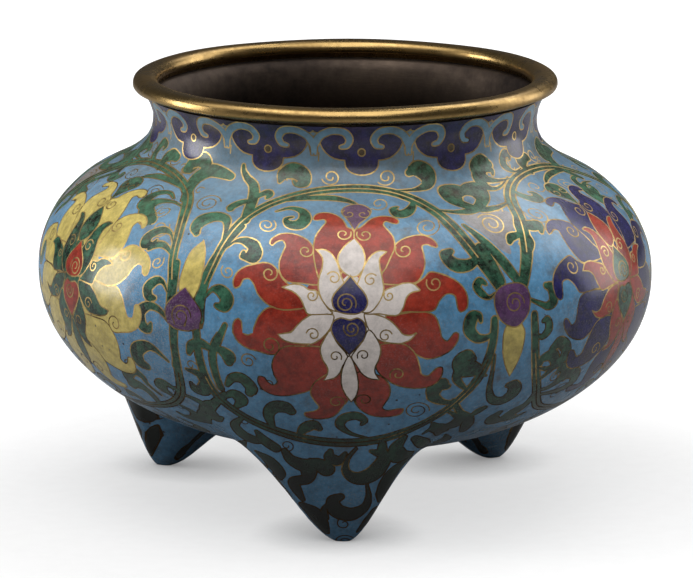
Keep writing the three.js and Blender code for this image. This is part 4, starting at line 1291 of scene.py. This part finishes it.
def make_floor():
    """A flat sheet of pale paper under the vessel."""
    paper = bpy.data.materials.new("studio_paper")
    paper.use_nodes = True
    tree = paper.node_tree
    shader = tree.nodes["Principled BSDF"]
    where = node(tree, "ShaderNodeTexCoord").outputs["Object"]
    fibre = ramp(tree, noise(tree, where, 220, 3), 0.3, 0.7, 0.35, 0.37)
    # It glows where it is seen directly, so that it looks white and yet throws little light on the
    # vessel: more so further out, and less near the vessel and where a foot stands on it, which paints
    # the vessel's shadow and the feet's contact shadows on the floor
    away = node(tree, "ShaderNodeVectorMath", {0: where}, operation="LENGTH").outputs["Value"]
    seen = node(tree, "ShaderNodeLightPath").outputs["Is Camera Ray"]
    contact_shadow_ao = node(tree, "ShaderNodeAmbientOcclusion", {"Distance": 0.016}, samples=8).outputs["AO"]
    shadowed_glow = times(tree, seen, ramp(tree, away, 0.1, 0.32, 0.62, 1.0))
    shadowed_glow = times(tree, shadowed_glow, ramp(tree, contact_shadow_ao, 0.2, 0.9, 0.35, 1.0))
    for label, value in {"Base Color": grey(tree, fibre), "Roughness": 0.9, "Specular IOR Level": 0.1,
                         "Emission Color": (1, 1, 1, 1), "Emission Strength": shadowed_glow}.items():
        feed(tree, shader.inputs[label], value)
    mesh = bpy.data.meshes.new("studio_floor")
    reach = 6.0
    corners = [(-reach, -reach, 0), (reach, -reach, 0), (reach, reach, 0), (-reach, reach, 0)]
    mesh.from_pydata(corners, [], [(0, 1, 2, 3)])
    mesh.materials.append(paper)
    floor = bpy.data.objects.new("studio_floor", mesh)
    bpy.context.collection.objects.link(floor)


def make_room():
    """A dim room, seen as white where it shows behind the floor."""
    world = bpy.data.worlds.new("studio")
    world.use_nodes = True
    tree = world.node_tree
    sky = tree.nodes["Background"].inputs
    seen = node(tree, "ShaderNodeLightPath").outputs["Is Camera Ray"]
    feed(tree, sky["Color"], (1, 1, 1, 1))
    feed(tree, sky["Strength"], ramp(tree, seen, 0, 1, 0.06, 1))
    bpy.context.scene.world = world


def make_lights():
    boxes = {  # azimuth, elevation, distance, size, power
        "left_soft_box": (-94, 9, 0.9, (0.3, 0.55), 4.0),
        "right_rear_soft_box": (138, 50, 1.0, (0.6, 0.5), 2.5),
        "left_top_soft_box": (-90, 60, 1.0, (0.6, 0.8), 2.2),
        "left_front_soft_box": (-40, 50, 1.1, (0.6, 0.6), 0.8),
        "front_soft_box": (4, 44, 1.3, (0.8, 0.6), 3.0),
        "overhead_soft_box": (0, 78, 1.2, (1.3, 1.0), 8.5),
        "right_soft_box": (112, 18, 0.9, (0.45, 0.8), 3.4),
    }
    for name, box in boxes.items():
        soft_box(name, *box)


def make_camera():
    """The photograph's view: from the front, a little above, through a long lens."""
    distance, elevation, aim = 1.3642, math.radians(12.218), Vector((0.00035, 0, 0.051745))
    data = bpy.data.cameras.new("photo_camera")
    data.lens, data.sensor_width = 281.66, 36.0
    data.clip_start, data.clip_end = 0.05, 20
    camera = bpy.data.objects.new("photo_camera", data)
    back = Vector((0, -math.cos(elevation), math.sin(elevation)))
    camera.location = aim + back * distance
    camera.rotation_euler = (-back).to_track_quat("-Z", "Y").to_euler()
    bpy.context.collection.objects.link(camera)
    bpy.context.scene.camera = camera


def add_piece(name, mesh, cad_node):
    piece = bpy.data.objects.new(name, mesh)
    bpy.context.collection.objects.link(piece)
    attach(piece, "root")
    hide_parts(cad_node)


materials = make_materials()
add_piece("vessel_body", build_vessel(materials), "vessel")
add_piece("mouth_ring_bead", build_ring(materials["gilding"]), "mouth_ring")
make_floor()
make_room()
make_lights()
make_camera()
bpy.context.scene.view_settings.view_transform = "Standard"
